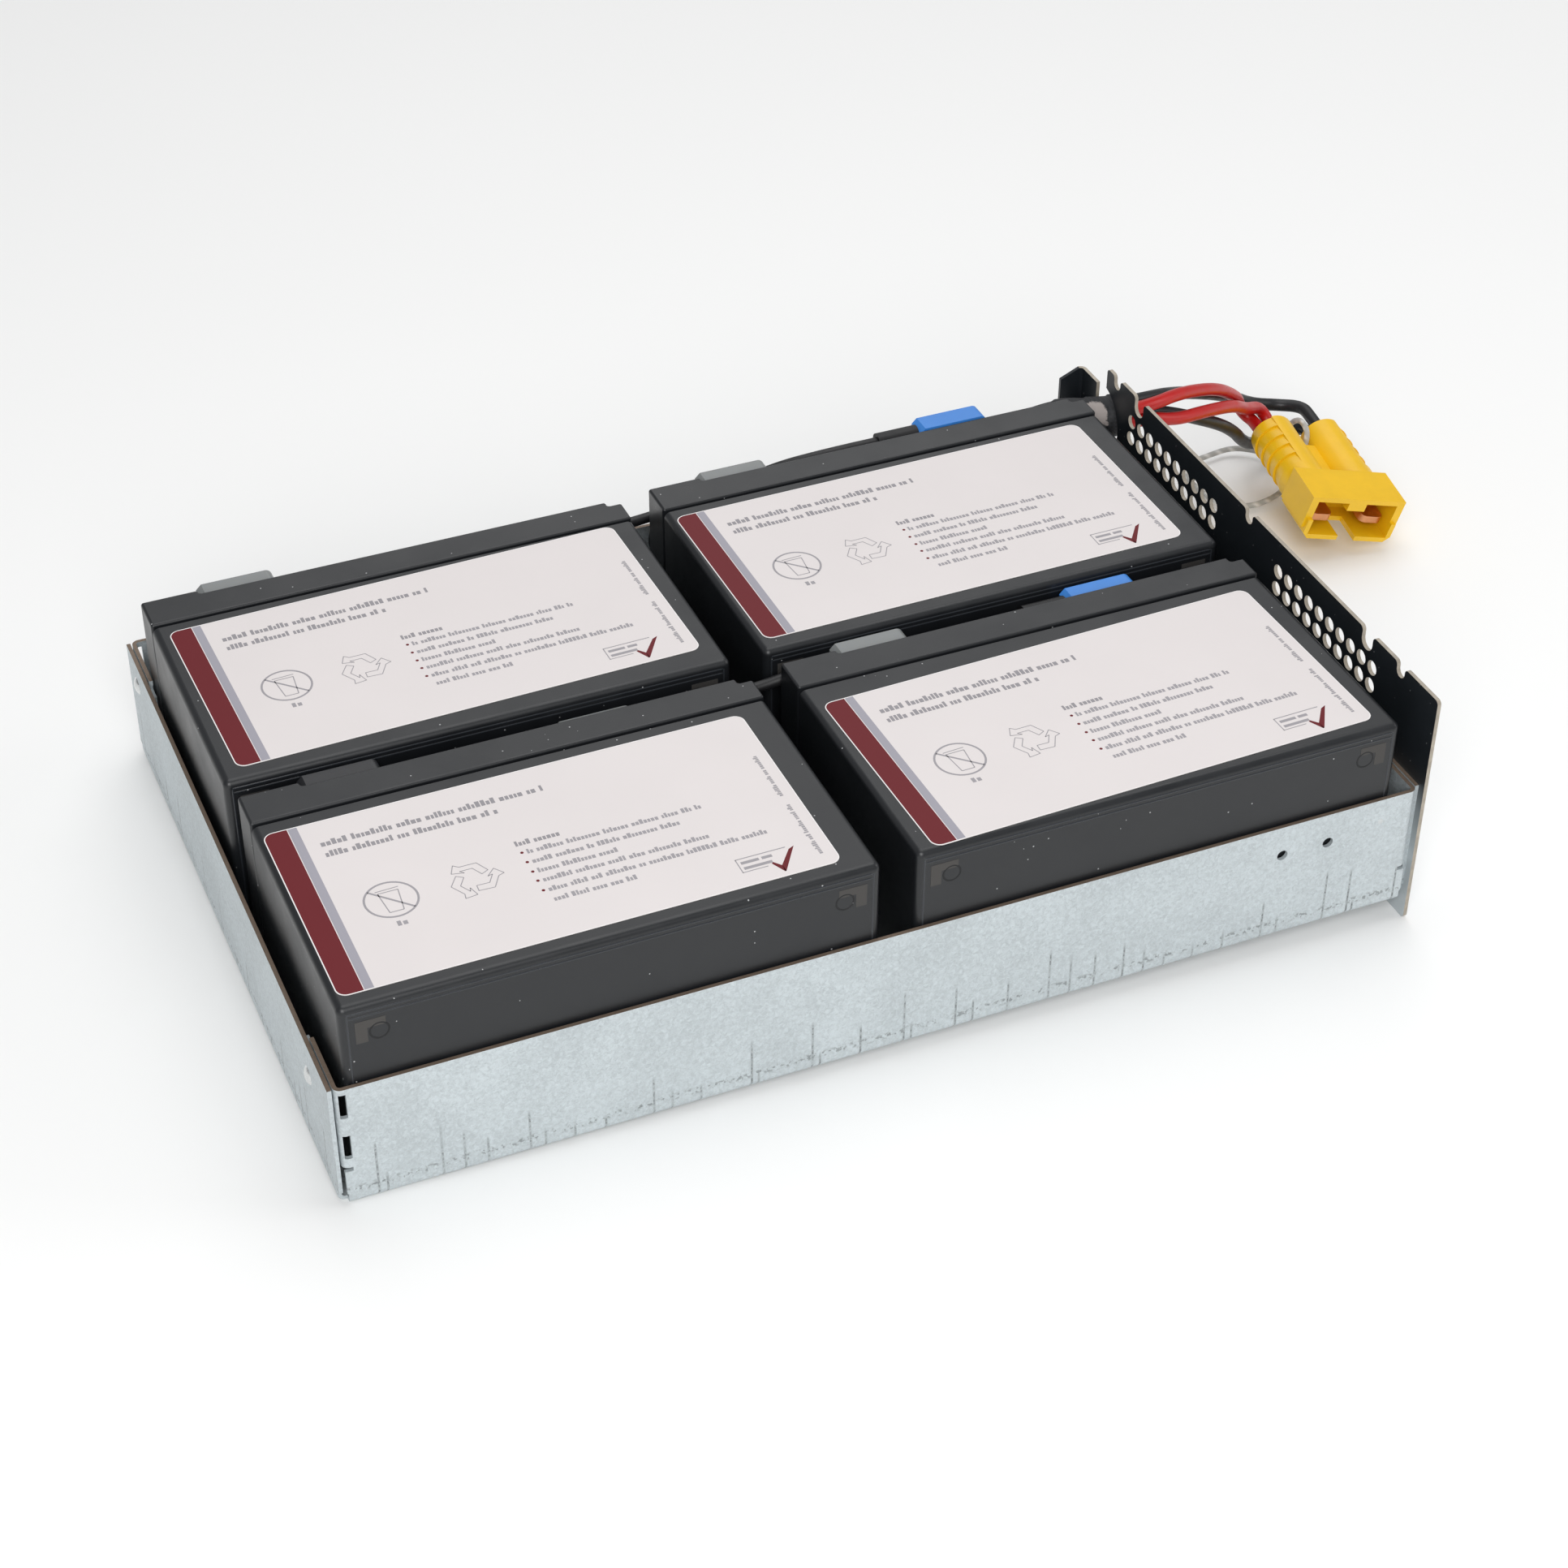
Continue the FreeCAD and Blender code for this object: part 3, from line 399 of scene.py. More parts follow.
def start(name, tint, constants):
    """A new material with its constants on the shader; returns it, its tree, shader and coordinates."""
    made = bpy.data.materials.new(name)
    made.use_nodes = True
    made.diffuse_color = tint
    tree = made.node_tree
    shader = tree.nodes["Principled BSDF"]
    for socket, value in {"Base Color": tint, **constants}.items():
        shader.inputs[socket].default_value = value
    return made, tree, shader, add(tree, "ShaderNodeTexCoord")


def surface(tree, shader, tint, height, strength, distance, rough=None):
    """Gives a shader its colour, its relief from a height, and its roughness where that varies."""
    tree.links.new(tint, shader.inputs["Base Color"])
    if rough is not None:
        tree.links.new(rough, shader.inputs["Roughness"])
    bump = add(tree, "ShaderNodeBump", {"Strength": strength, "Distance": distance, "Height": height})
    tree.links.new(bump.outputs["Normal"], shader.inputs["Normal"])


def dusted(tree, where, base, dust, cell, speck, share, strength):
    """Dust specks of a radius over a colour: a share of the cells can show one."""
    dots = add(tree, "ShaderNodeTexVoronoi", {"Vector": where.outputs["Object"], "Scale": 1 / cell})
    near = calc(tree, "LESS_THAN", dots.outputs["Distance"], speck / cell)
    chance = add(tree, "ShaderNodeSeparateColor", {"Color": dots.outputs["Color"]})
    few = calc(tree, "GREATER_THAN", chance.outputs["Red"], 1 - share)
    faint = calc(tree, "MULTIPLY", calc(tree, "MULTIPLY", near, few), strength)
    return blend(tree, faint, base, dust)


# ---------------------------------------------------------------- materials


def rub_marks(tree, place, wear, foot):
    """Upright rubs about 9 mm apart and half a millimetre wide, each of its own height, broken by wear."""
    spacing, least, most = 9 * MM, foot + 5.5 * MM, foot + 21.5 * MM
    along = calc(tree, "ADD", place.outputs["X"], place.outputs["Y"])
    lines = add(tree, "ShaderNodeTexVoronoi", {"W": calc(tree, "DIVIDE", along, spacing), "Scale": 1.0},
                voronoi_dimensions="1D")
    thin = ramp(tree, lines.outputs["Distance"], 0.02, 0.05, 1.0, 0.0)
    each = add(tree, "ShaderNodeSeparateColor", {"Color": lines.outputs["Color"]})
    tall = ramp(tree, each.outputs["Red"], 0.0, 1.0, least, most)
    under = calc(tree, "SUBTRACT", tall, place.outputs["Z"])
    fade = ramp(tree, under, 0.0, 2 * MM, 0.0, 0.9)
    return calc(tree, "MULTIPLY", thin, calc(tree, "MULTIPLY", fade, wear))


def press_scuffs(tree, where, place, foot):
    """Dark specks in a band just over the bend, where the sheet slid on the press."""
    specks = noise(tree, where, 1.3 * MM, 3.0, 0.6)
    dark = ramp(tree, specks, 0.54, 0.6, 0.0, 0.6)
    apart = calc(tree, "ABSOLUTE", calc(tree, "SUBTRACT", place.outputs["Z"], foot + 5.2 * MM))
    level = ramp(tree, apart, 0.5 * MM, 1.5 * MM, 1.0, 0.0)
    return calc(tree, "MULTIPLY", level, dark)


def galvanised_steel(choice):
    """Hot-dip zinc: pale and slightly blue, finely crackled, with rub marks and brown sheared edges."""
    made, tree, shader, where = start("galvanised_steel", choice.zinc, {"Metallic": 0.35, "Roughness": 0.5})
    low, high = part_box("tray")
    place = add(tree, "ShaderNodeSeparateXYZ", {"Vector": where.outputs["Object"]})
    facing = add(tree, "ShaderNodeSeparateXYZ", {"Vector": where.outputs["Normal"]})
    crackle = noise(tree, where, choice.crackle, 4.0, 0.7, distortion=0.8)
    cloud = noise(tree, where, 26 * MM, 5.0, 0.6)
    both = add(tree, "ShaderNodeMix", {"Factor": 0.3, "A": crackle, "B": cloud}).outputs["Result"]
    wear = ramp(tree, both, 0.4, 0.6)
    zinc = mottle(tree, wear, choice.zinc, 0.86, 1.1)
    rubs = rub_marks(tree, place, wear, low.z)
    scuffs = press_scuffs(tree, where, place, low.z)
    rubbed = blend(tree, calc(tree, "MAXIMUM", rubs, scuffs), zinc, linear("#646767"))
    # the sheared top edge faces up near the walls' full height
    up = calc(tree, "GREATER_THAN", facing.outputs["Z"], 0.8)
    top = calc(tree, "GREATER_THAN", place.outputs["Z"], high.z - MM)
    edge = calc(tree, "MULTIPLY", up, top)
    surface(tree, shader, blend(tree, edge, rubbed, linear("#7A6A5C")), crackle, 0.9, 0.3 * MM)
    return made


def sheared_edge(tree, place, facing, back):
    """Where the panel's bare edges are: they face neither way along X, and aren't the flange at the back."""
    level = calc(tree, "LESS_THAN", calc(tree, "ABSOLUTE", facing.outputs["X"]), 0.4)
    along = calc(tree, "GREATER_THAN", calc(tree, "ABSOLUTE", facing.outputs["Y"]), 0.5)
    fold = calc(tree, "GREATER_THAN", place.outputs["Y"], back - 3 * MM)
    flange = calc(tree, "MULTIPLY", along, fold)
    return calc(tree, "SUBTRACT", level, flange, use_clamp=True)


def coated_panel(choice):
    """Sheet with a dark coating and specks of dust, paler in the zinc's colour towards its foot; its outer
    face and its edges are bare.
    """
    made, tree, shader, where = start("coated_steel", choice.coating, {"Metallic": 0.1, "Roughness": 0.36})
    low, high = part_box("end_panel")
    place = add(tree, "ShaderNodeSeparateXYZ", {"Vector": where.outputs["Object"]})
    facing = add(tree, "ShaderNodeSeparateXYZ", {"Vector": where.outputs["Normal"]})
    cloud = noise(tree, where, 14 * MM, 7.0, 0.65)
    coat = mottle(tree, cloud, choice.coating, 0.75, 1.5)
    outer = calc(tree, "GREATER_THAN", facing.outputs["X"], 0.5)
    # paler towards the foot: the coating gives way to the zinc's colour from 50 mm down to 22 mm over the
    # panel's foot
    foot = ramp(tree, place.outputs["Z"], low.z + 22 * MM, low.z + 50 * MM, 1.0, 0.0)
    zinc_toned = calc(tree, "MAXIMUM", outer, foot)
    faces = blend(tree, zinc_toned, coat, mottle(tree, cloud, choice.zinc, 0.7, 1.05))
    dusty = dusted(tree, where, faces, linear("#D9DADA"), 3.4 * MM, 0.187 * MM, share=0.45, strength=0.5)
    worn = noise(tree, where, 2.5 * MM, 4.0)
    raw = mottle(tree, worn, choice.cut_edge, 0.6, 1.35)
    whole = blend(tree, sheared_edge(tree, place, facing, high.y), dusty, raw)
    surface(tree, shader, whole, cloud, 0.12, 0.1 * MM)
    return made


def moulded_abs(name, tint, rough):
    """Moulded ABS: an even charcoal with a fine matt texture, handling marks and a few specks of dust."""
    made, tree, shader, where = start(name, tint, {"Roughness": rough})
    cloud = noise(tree, where, 22 * MM, 6.0, 0.6)
    plain = mottle(tree, cloud, tint, 0.82, 1.2)
    dusty = dusted(tree, where, plain, linear("#C6C7C8"), 1.5 * MM, 0.225 * MM, share=0.03, strength=0.7)
    # the spark-eroded texture is about 0.15 mm; 0.4 mm is as fine as shows
    grain = noise(tree, where, 0.4 * MM)
    handled = ramp(tree, cloud, 0.3, 0.7, rough - 0.07, rough + 0.09)
    surface(tree, shader, dusty, grain, 0.18, 0.05 * MM, handled)
    return made


def printed_film(name, tint):
    """Polypropylene label film or the ink on it: smooth, with a soft sheen and faint handling marks."""
    made, tree, shader, where = start(name, tint, {
        "Roughness": 0.45, "IOR": 1.49, "Specular IOR Level": 0.25})
    smear = noise(tree, where, 30 * MM, 5.0)
    surface(tree, shader, mottle(tree, smear, tint, 0.965, 1.025), smear, 0.05, 0.2 * MM)
    return made


def insulation(name, tint, rough):
    """Extruded silicone or rubber: smooth and satin, slightly uneven, with dull finger marks."""
    made, tree, shader, where = start(name, tint, {"Roughness": rough, "IOR": 1.45})
    marks = noise(tree, where, 6 * MM, 5.0, 0.6)
    dull = ramp(tree, marks, 0.3, 0.7, rough - 0.08, rough + 0.12)
    surface(tree, shader, mottle(tree, marks, tint, 0.82, 1.14), marks, 0.1, 0.1 * MM, dull)
    return made


def moulded_nylon(name, tint, rough):
    """Moulded nylon or polycarbonate: bright, satin, faintly waxy, with light scuffs."""
    made, tree, shader, where = start(name, tint, {
        "Roughness": rough, "IOR": 1.53, "Subsurface Weight": 0.08,
        "Subsurface Radius": (1.2 * MM, 0.8 * MM, 0.3 * MM)})
    cloud = noise(tree, where, 10 * MM, 6.0, 0.62)
    scuffs = noise(tree, where, 0.7 * MM, 3.0)
    surface(tree, shader, mottle(tree, cloud, tint, 0.88, 1.1), scuffs, 0.12, 0.06 * MM)
    return made


def cloth_tape(choice):
    """Black cloth tape: matt, with a fine weave, and a pale patch at one spot that is a painted highlight."""
    made, tree, shader, where = start("cloth_tape", choice.tape, {"Roughness": 0.62, "IOR": 1.45})
    place = where.outputs["Object"]
    # threads about 0.4 mm wide, drawn at 0.7 mm so that they show
    weft, warp = (wave(tree, place, 4.4 * MM, way, 0.6) for way in "XZ")
    weave = calc(tree, "MAXIMUM", weft, warp)
    ragged = noise(tree, where, 4 * MM, 6.0, 0.7)
    off = add(tree, "ShaderNodeVectorMath", {0: place, 1: PAINTED_HIGHLIGHT_SPOT}, operation="DISTANCE").outputs["Value"]
    reach = calc(tree, "ADD", off, calc(tree, "MULTIPLY", ragged, 9 * MM))
    # a pale patch with a ragged rim: a painted highlight on the tape
    spot = ramp(tree, reach, 8.4 * MM, 9.2 * MM, 0.9, 0.0)
    whole = blend(tree, spot, mottle(tree, weave, choice.tape, 0.7, 1.5), linear("#A59C98"))
    surface(tree, shader, whole, weave, 0.35, 0.12 * MM)
    return made


def braided_polyester(choice):
    """Braided polyester cord: pale grey plaits about 2.5 mm long, crossing both ways."""
    made, tree, shader, where = start("braided_polyester", choice.cord, {
        "Roughness": 0.75, "Sheen Weight": 0.3})
    place = where.outputs["Object"]
    mirrored = add(tree, "ShaderNodeMapping", {"Vector": place, "Scale": (1, -1, 1)}).outputs["Vector"]
    one, other = (wave(tree, vector, 8 * MM, "DIAGONAL", 1.0) for vector in (place, mirrored))
    plait = calc(tree, "MULTIPLY", one, other)
    surface(tree, shader, mottle(tree, plait, choice.cord, 0.62, 1.1), plait, 0.8, 0.3 * MM)
    return made


def bare_metal(name, tint, rough):
    """Turned or stamped bare metal, with fine scratches and a little tarnish."""
    made, tree, shader, where = start(name, tint, {"Metallic": 1.0, "Roughness": rough})
    cloud = noise(tree, where, 2.5 * MM, 6.0, 0.65)
    wear = ramp(tree, cloud, 0.3, 0.7, rough - 0.08, rough + 0.15)
    surface(tree, shader, mottle(tree, cloud, tint, 0.7, 1.2), cloud, 0.15, 0.1 * MM, wear)
    return made


def pale_floor(choice):
    """A plain pale floor, matt, with a breath of unevenness."""
    made, tree, shader, where = start("pale_floor", choice.floor, {"Roughness": 0.9})
    tone = mottle(tree, noise(tree, where, 1 / 3), choice.floor, 0.99, 1.01)
    tree.links.new(tone, shader.inputs["Base Color"])
    return made


# ---------------------------------------------------------------- operators


class CartridgeOperator:
    """What every step of the cartridge shares."""
    bl_options = {"REGISTER", "UNDO"}


class CARTRIDGE_OT_camera(CartridgeOperator, bpy.types.Operator):
    """Sets the camera"""
    bl_idname = "cartridge.camera"
    bl_label = "Camera"

    def execute(self, context):
        data = bpy.data.cameras.new("camera")
        data.lens = context.scene.cartridge_stage.lens
        data.sensor_width = SENSOR_WIDE
        azimuth, height, roll = (math.radians(angle) for angle in CAMERA_TURN)
        back = Vector((math.sin(azimuth) * math.cos(height), -math.cos(azimuth) * math.cos(height),
                       math.sin(height)))
        right = (-back).cross(Vector((0, 0, 1))).normalized()
        up = right.cross(-back)
        level = right * math.cos(roll) + up * math.sin(roll)
        tall = up * math.cos(roll) - right * math.sin(roll)
        camera = bpy.data.objects.new("camera", data)
        facing = Matrix((level, tall, back)).transposed().to_4x4()
        camera.matrix_world = Matrix.Translation(CAMERA_PLACE) @ facing
        context.scene.collection.objects.link(camera)
        context.scene.camera = camera
        return {"FINISHED"}


class CARTRIDGE_OT_leads(CartridgeOperator, bpy.types.Operator):
    """Lays the four free leads from the bundle to the connector"""
    bl_idname = "cartridge.leads"
    bl_label = "Leads"

    def execute(self, context):
        choice = context.scene.cartridge_harness
        red = insulation("red_silicone", choice.red, 0.34)
        black = insulation("black_silicone", choice.black, 0.4)
        for name, points in ROUTES.items():
            material, slot = (red, "red_silicone") if name.startswith("red") else (black, "black_rubber")
            lead = cord_piece(f"{name}_insulation", points, choice.lead_diameter, material)
            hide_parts(name)
        return {"FINISHED"}


class CARTRIDGE_OT_pull_cord(CartridgeOperator, bpy.types.Operator):
    """Lays the pull cord's loop through the connector"""
    bl_idname = "cartridge.pull_cord"
    bl_label = "Pull cord"

    def execute(self, context):
        choice = context.scene.cartridge_harness
        braid = cord_piece("pull_cord_braid", PULL_CORD, choice.cord_diameter, braided_polyester(choice))
        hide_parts("pull_cord")
        return {"FINISHED"}


class CARTRIDGE_OT_bundle(CartridgeOperator, bpy.types.Operator):
    """Wraps the bundle in tape"""
    bl_idname = "cartridge.bundle"
    bl_label = "Taped bundle"

    def execute(self, context):
        radius, pitch, lap_high = 7.2 * MM, 9 * MM, 0.45 * MM
        work = bmesh.new()
        wrapped_tube(work, spline_line(BUNDLE), radius, pitch, lap_high)
        tape = cloth_tape(context.scene.cartridge_harness)
        piece = solid_piece("taped_bundle_wrap", work, tape)
        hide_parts("taped_bundle")
        return {"FINISHED"}


class CARTRIDGE_OT_sheet_metal(CartridgeOperator, bpy.types.Operator):
    """Finishes the tray, the end panel and the rivets"""
    bl_idname = "cartridge.sheet_metal"
    bl_label = "Sheet metal"

    def execute(self, context):
        choice = context.scene.cartridge_finish
        dress(galvanised_steel(choice), "tray")
        dress(coated_panel(choice), "end_panel")
        rivet = bare_metal("rivet_steel", linear("#DCDEDE"), 0.2)
        dress(rivet, "left_rivet_front", "left_rivet_back", "panel_rivet_front", "panel_rivet_back")
        self.weld_spot()
        return {"FINISHED"}

    def weld_spot(self):
        """A shallow round weld mark near the right end of the front wall."""
        radius, flatness, from_right, from_foot = 0.9 * MM, 0.08, 13 * MM, 33.1 * MM
        low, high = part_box("tray")
        work = bmesh.new()
        spot = bmesh.ops.create_uvsphere(work, u_segments=24, v_segments=10, radius=radius)["verts"]
        bmesh.ops.scale(work, vec=(1, flatness, 1), verts=spot)
        bmesh.ops.translate(work, vec=(high.x - from_right, low.y, low.z + from_foot), verts=spot)
        steel = bare_metal("weld_steel", linear("#DADEDF"), 0.5)
        solid_piece("weld_spot", work, steel)


class CARTRIDGE_OT_cases(CartridgeOperator, bpy.types.Operator):
    """Finishes the containers and lids and adds their moulded detail"""
    bl_idname = "cartridge.cases"
    bl_label = "Cases and lids"

    def execute(self, context):
        choice = context.scene.cartridge_finish
        plain = moulded_abs("moulded_abs_case", choice.case, 0.36)
        lid = moulded_abs("moulded_abs_lid", choice.case, 0.34)
        coarse = moulded_abs("textured_abs", linear("#413F3D"), 0.75)
        # the beads' tint, 2.5 times as light as the case, is a painted glint along them
        bead_glint = moulded_abs("abs_painted_glint", shade(choice.case, 2.5), 0.22)
        # the rings' tint, much darker than the case, is painted shade round each ejector mark
        ring_shade = moulded_abs("abs_painted_ring_shade", shade(choice.case, 0.4), 0.6)
        for name in BATTERIES:
            dress(plain, f"{name}_case")
            dress(lid, f"{name}_lid")
            low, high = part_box(f"{name}_case")
            self.beads(name, low, high, bead_glint)
            self.corner_marks(name, low, high, coarse)
            self.ejector_rings(name, low, high, ring_shade)
        return {"FINISHED"}

    def beads(self, name, low, high, material):
        """Two fine beads along the top of the front face and one down each of its ends, drawn lighter than
        the case as a painted glint.
        """
        inset, drop, gap, foot, taper = 2.3 * MM, 2.4 * MM, 1.5 * MM, 3 * MM, MM
        # how deep a bead starts in the face, and its section along Y and across it, in millimetres
        sunk, section = 0.01, [(0.02, 0.3), (-0.2, 0.12), (-0.2, -0.12), (0.02, -0.3)]
        left, right, top = low.x + inset, high.x - inset, high.z - drop
        work = bmesh.new()
        for start_x, start_z, end_x, end_z in (
                (left, top, right, top), (left, top - gap, right, top - gap),
                (left, low.z + foot, left, top), (right, low.z + foot, right, top)):
            first, last = Vector((start_x, low.y, start_z)), Vector((end_x, low.y, end_z))
            way = (last - first).normalized()
            side = Vector((-way.z, 0, way.x))
            rows = []
            for place, rise in ((first, 0), (first + way * taper, 1), (last - way * taper, 1), (last, 0)):
                offsets = [Vector((0, (out * rise + sunk) * MM, 0)) + side * across * MM
                           for out, across in section]
                rows.append([work.verts.new(place + offset) for offset in offsets])
            skin(work, rows, closed=False)
        solid_piece(f"{name}_beads", work, material)

    def corner_marks(self, name, low, high, material):
        """An L of coarser texture near each upper corner of the front face."""
        # the L, in millimetres from the corner and up from its own top
        outline = [(4.2, 0), (12.4, 0), (12.4, -2.6), (7.4, -2.6), (7.4, -7.2), (4.2, -7.2)]
        proud, sunk, top = 0.06 * MM, 0.05 * MM, high.z - 5.4 * MM
        work = bmesh.new()
        for corner, way in ((low.x, 1), (high.x, -1)):
            front, back = ([work.verts.new((corner + way * x * MM, y, top + z * MM)) for x, z in outline]
                           for y in (low.y - proud, low.y + sunk))
            work.faces.new(front)
            skin(work, [front, back])
        solid_piece(f"{name}_corner_marks", work, material, smooth=False)

    def ejector_rings(self, name, low, high, material):
        """A fine ring beside each L, where an ejector pin pushed; its dark tint is painted shade."""
        from_end, from_top, sunk = 10.6 * MM, 9.8 * MM, 0.02 * MM
        work = bmesh.new()
        for middle_x in (low.x + from_end, high.x - from_end):
            rows = []
            for radius, rise in ((2.9, 0.0), (2.75, 0.12), (2.4, 0.12), (2.25, 0.0)):
                rows.append([work.verts.new((x, low.y + sunk - rise * MM, z))
                             for x, z in around(middle_x, high.z - from_top, radius * MM, 32)])
            skin(work, rows)
        solid_piece(f"{name}_ejector_rings", work, material)


class CARTRIDGE_OT_labels(CartridgeOperator, bpy.types.Operator):
    """Prints the labels with plain stripes, rules and marks"""
    bl_idname = "cartridge.labels"
    bl_label = "Labels"

    def execute(self, context):
        choice = context.scene.cartridge_finish
        film = printed_film("label_film", choice.film)
        inks = [printed_film("wine_ink", choice.wine), printed_film("stripe_ink", choice.grey_stripe),
                printed_film("rule_ink", choice.print_grey), printed_film("label_rim", choice.film_edge),
                printed_film("bold_ink", shade(choice.print_grey, 0.88))]
        over_film = 0.02 * MM
        shapes = self.label_shapes(choice.stripe_wide / MM)
        for name in BATTERIES:
            dress(film, f"{name}_label")
            low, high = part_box(f"{name}_label")
            middle, turn = (low + high) / 2, math.radians(LABEL_TURN[name])
            placed = [(ink, [self.place(x, y, middle, turn) for x, y in ring]) for ink, ring in shapes]
            printed_piece(f"{name}_print", placed, high.z + over_film, inks)
        return {"FINISHED"}

    def place(self, x, y, middle, turn):
        """A point of the label's drawing, turned about the label's middle and laid on the battery."""
        across, up = (x - LABEL_WIDE / 2) * MM, (y - LABEL_HIGH / 2) * MM
        return (middle.x + across * math.cos(turn) - up * math.sin(turn),
                middle.y + across * math.sin(turn) + up * math.cos(turn))

    def label_shapes(self, stripe):
        """All shapes on one label in millimetres from its low left corner: (ink, ring of points)."""
        gap, narrow = 0.25, 2.5
        outer = rounded_outline(LABEL_WIDE, LABEL_HIGH, LABEL_CORNER, 0)
        inner = rounded_outline(LABEL_WIDE - 2 * LABEL_RIM, LABEL_HIGH - 2 * LABEL_RIM,
                                LABEL_CORNER - LABEL_RIM, LABEL_RIM)
        shapes = [(RIM, quad) for quad in band(outer, inner)]
        # the broad stripe fills the left end, round the rim's two corners there
        corners = [point for point in inner if point[0] <= LABEL_CORNER + 0.05]
        upper = sorted([point for point in corners if point[1] > LABEL_HIGH / 2], key=lambda point: -point[0])
        lower = sorted([point for point in corners if point[1] < LABEL_HIGH / 2], key=lambda point: point[0])
        top = LABEL_HIGH - LABEL_RIM
        shapes.append((WINE, [(stripe, LABEL_RIM), (stripe, top)] + upper + lower))
        shapes.append((STRIPE, bar(stripe + gap, LABEL_RIM, stripe + gap + narrow, top)))
        self.rules(shapes)
        self.barred_ring(shapes)
        self.block_loop(shapes)
        self.tick_box(shapes)
        return shapes

    def rules(self, shapes):
        """Rows of small blocks in word-like runs, where a label carries its print."""
        chance = random.Random(11)
        heading, line, side_line = 2.5, 2.0, 1.4
        rows = [(13.6, 77, 61.1, heading), (13.6, 62.7, 56.4, heading), (61.6, 74.6, 40.7, 2.2),
                (63.6, 114, 36.6, line), (63.6, 105.6, 32.3, line), (63.6, 87.6, 28, line),
                (63.6, 111.4, 23.9, line), (63.6, 126.9, 19.6, line), (63.6, 87.1, 15.3, line)]
        for start_x, end_x, middle, tall in rows:
            self.row(shapes, chance, start_x, end_x, middle, tall, BOLD if tall > line else RULE)
        # the last row runs on from the one above it and has no dot
        for _, _, middle, _ in rows[3:8]:
            shapes.append((WINE, around(62.2, middle, 0.5, 8)))
        upright = []
        for start_y, end_y in ((5, 28.4), (32, 51.4)):
            self.row(upright, chance, start_y, end_y, 0, side_line, RULE)
        shapes += [(ink, [(135.8 - y, x) for x, y in ring]) for ink, ring in upright]

    def row(self, shapes, chance, start_x, end_x, middle, tall, ink):
        """One row of word-like runs of blocks, some of them taller."""
        x, run = start_x, chance.randint(2, 8)
        while x < end_x - 0.3 * tall:
            wide = tall * chance.uniform(0.3, 0.52)
            reach = middle + tall * (0.5 if chance.random() < 0.32 else 0.18)
            shapes.append((ink, bar(x, middle - tall * 0.5, x + wide, reach)))
            run -= 1
            x += wide + tall * (0.13 if run else 0.55)
            run = run or chance.randint(2, 9)

    def barred_ring(self, shapes):
        """A ring with a bar across an open can, and two small blocks under it."""
        cx, cy, radius, wide, thin = 24.1, 31.7, 7.5, 0.62, 0.3
        outer, inner = around(cx, cy, radius, 40), around(cx, cy, radius - wide, 40)
        shapes += [(RULE, quad) for quad in band(outer, inner)]
        slant = (radius - 0.4) * math.sqrt(0.5)
        shapes.append((RULE, stroke(cx - slant, cy + slant, cx + slant, cy - slant, wide)))
        can = [(cx + x, cy + y) for x, y in ((-2.7, 3.4), (-1.9, -5.0), (2.0, -5.0), (2.9, 3.4))]
        shapes += [(RULE, ring) for ring in closed_line(can, thin)]
        shapes.append((RULE, stroke(20.9, 36.0, 27.4, 36.2, thin)))
        shapes += [(RULE, bar(22.6, 20.7, 23.7, 22.7)), (RULE, bar(24.2, 20.7, 25.4, 22.2))]

    def block_loop(self, shapes):
        """Three bent blocks that follow one another round a loop, in outline."""
        middle, thin = Vector((46.9, 31.2)), 0.26
        # one block's corners: along the loop, and out from its middle
        block = [(-4.6, 2.2), (-2.6, 6.2), (2.2, 6.2), (3.6, 7.4), (5.0, 4.2), (1.6, 3.4), (2.6, 4.4),
                 (-0.9, 4.4), (-2.6, 1.2)]
        for turn in (90, 210, 330):
            angle = math.radians(turn)
            out = Vector((math.cos(angle), math.sin(angle)))
            along = Vector((-out.y, out.x))
            corners = [middle + along * a + out * b for a, b in block]
            shapes += [(RULE, ring) for ring in closed_line(corners, thin)]

    def tick_box(self, shapes):
        """An open box with three blocks in it and a tick over its right end."""
        left, right, top, foot = 113.4, 128.0, 11.3, 5.7
        shapes += [(RULE, stroke(left, top, right, top, 0.35)),
                   (RULE, stroke(left + 0.1, top, left + 0.1, foot - 0.1, 0.3)),
                   (RULE, stroke(left, foot, 120.8, foot, 0.3)),
                   (RULE, bar(114.4, 8.9, 119.6, 10.0)), (RULE, bar(120.4, 8.9, 123.4, 10.0)),
                   (RULE, bar(114.4, 6.6, 122.6, 7.7)),
                   (WINE, [(122.0, 6.3), (122.6, 6.7), (124.3, 4.6), (124.5, 2.0), (124.1, 1.9)]),
                   (WINE, [(124.1, 1.9), (124.5, 2.0), (130.4, 11.0), (128.6, 10.2), (124.3, 4.6)])]


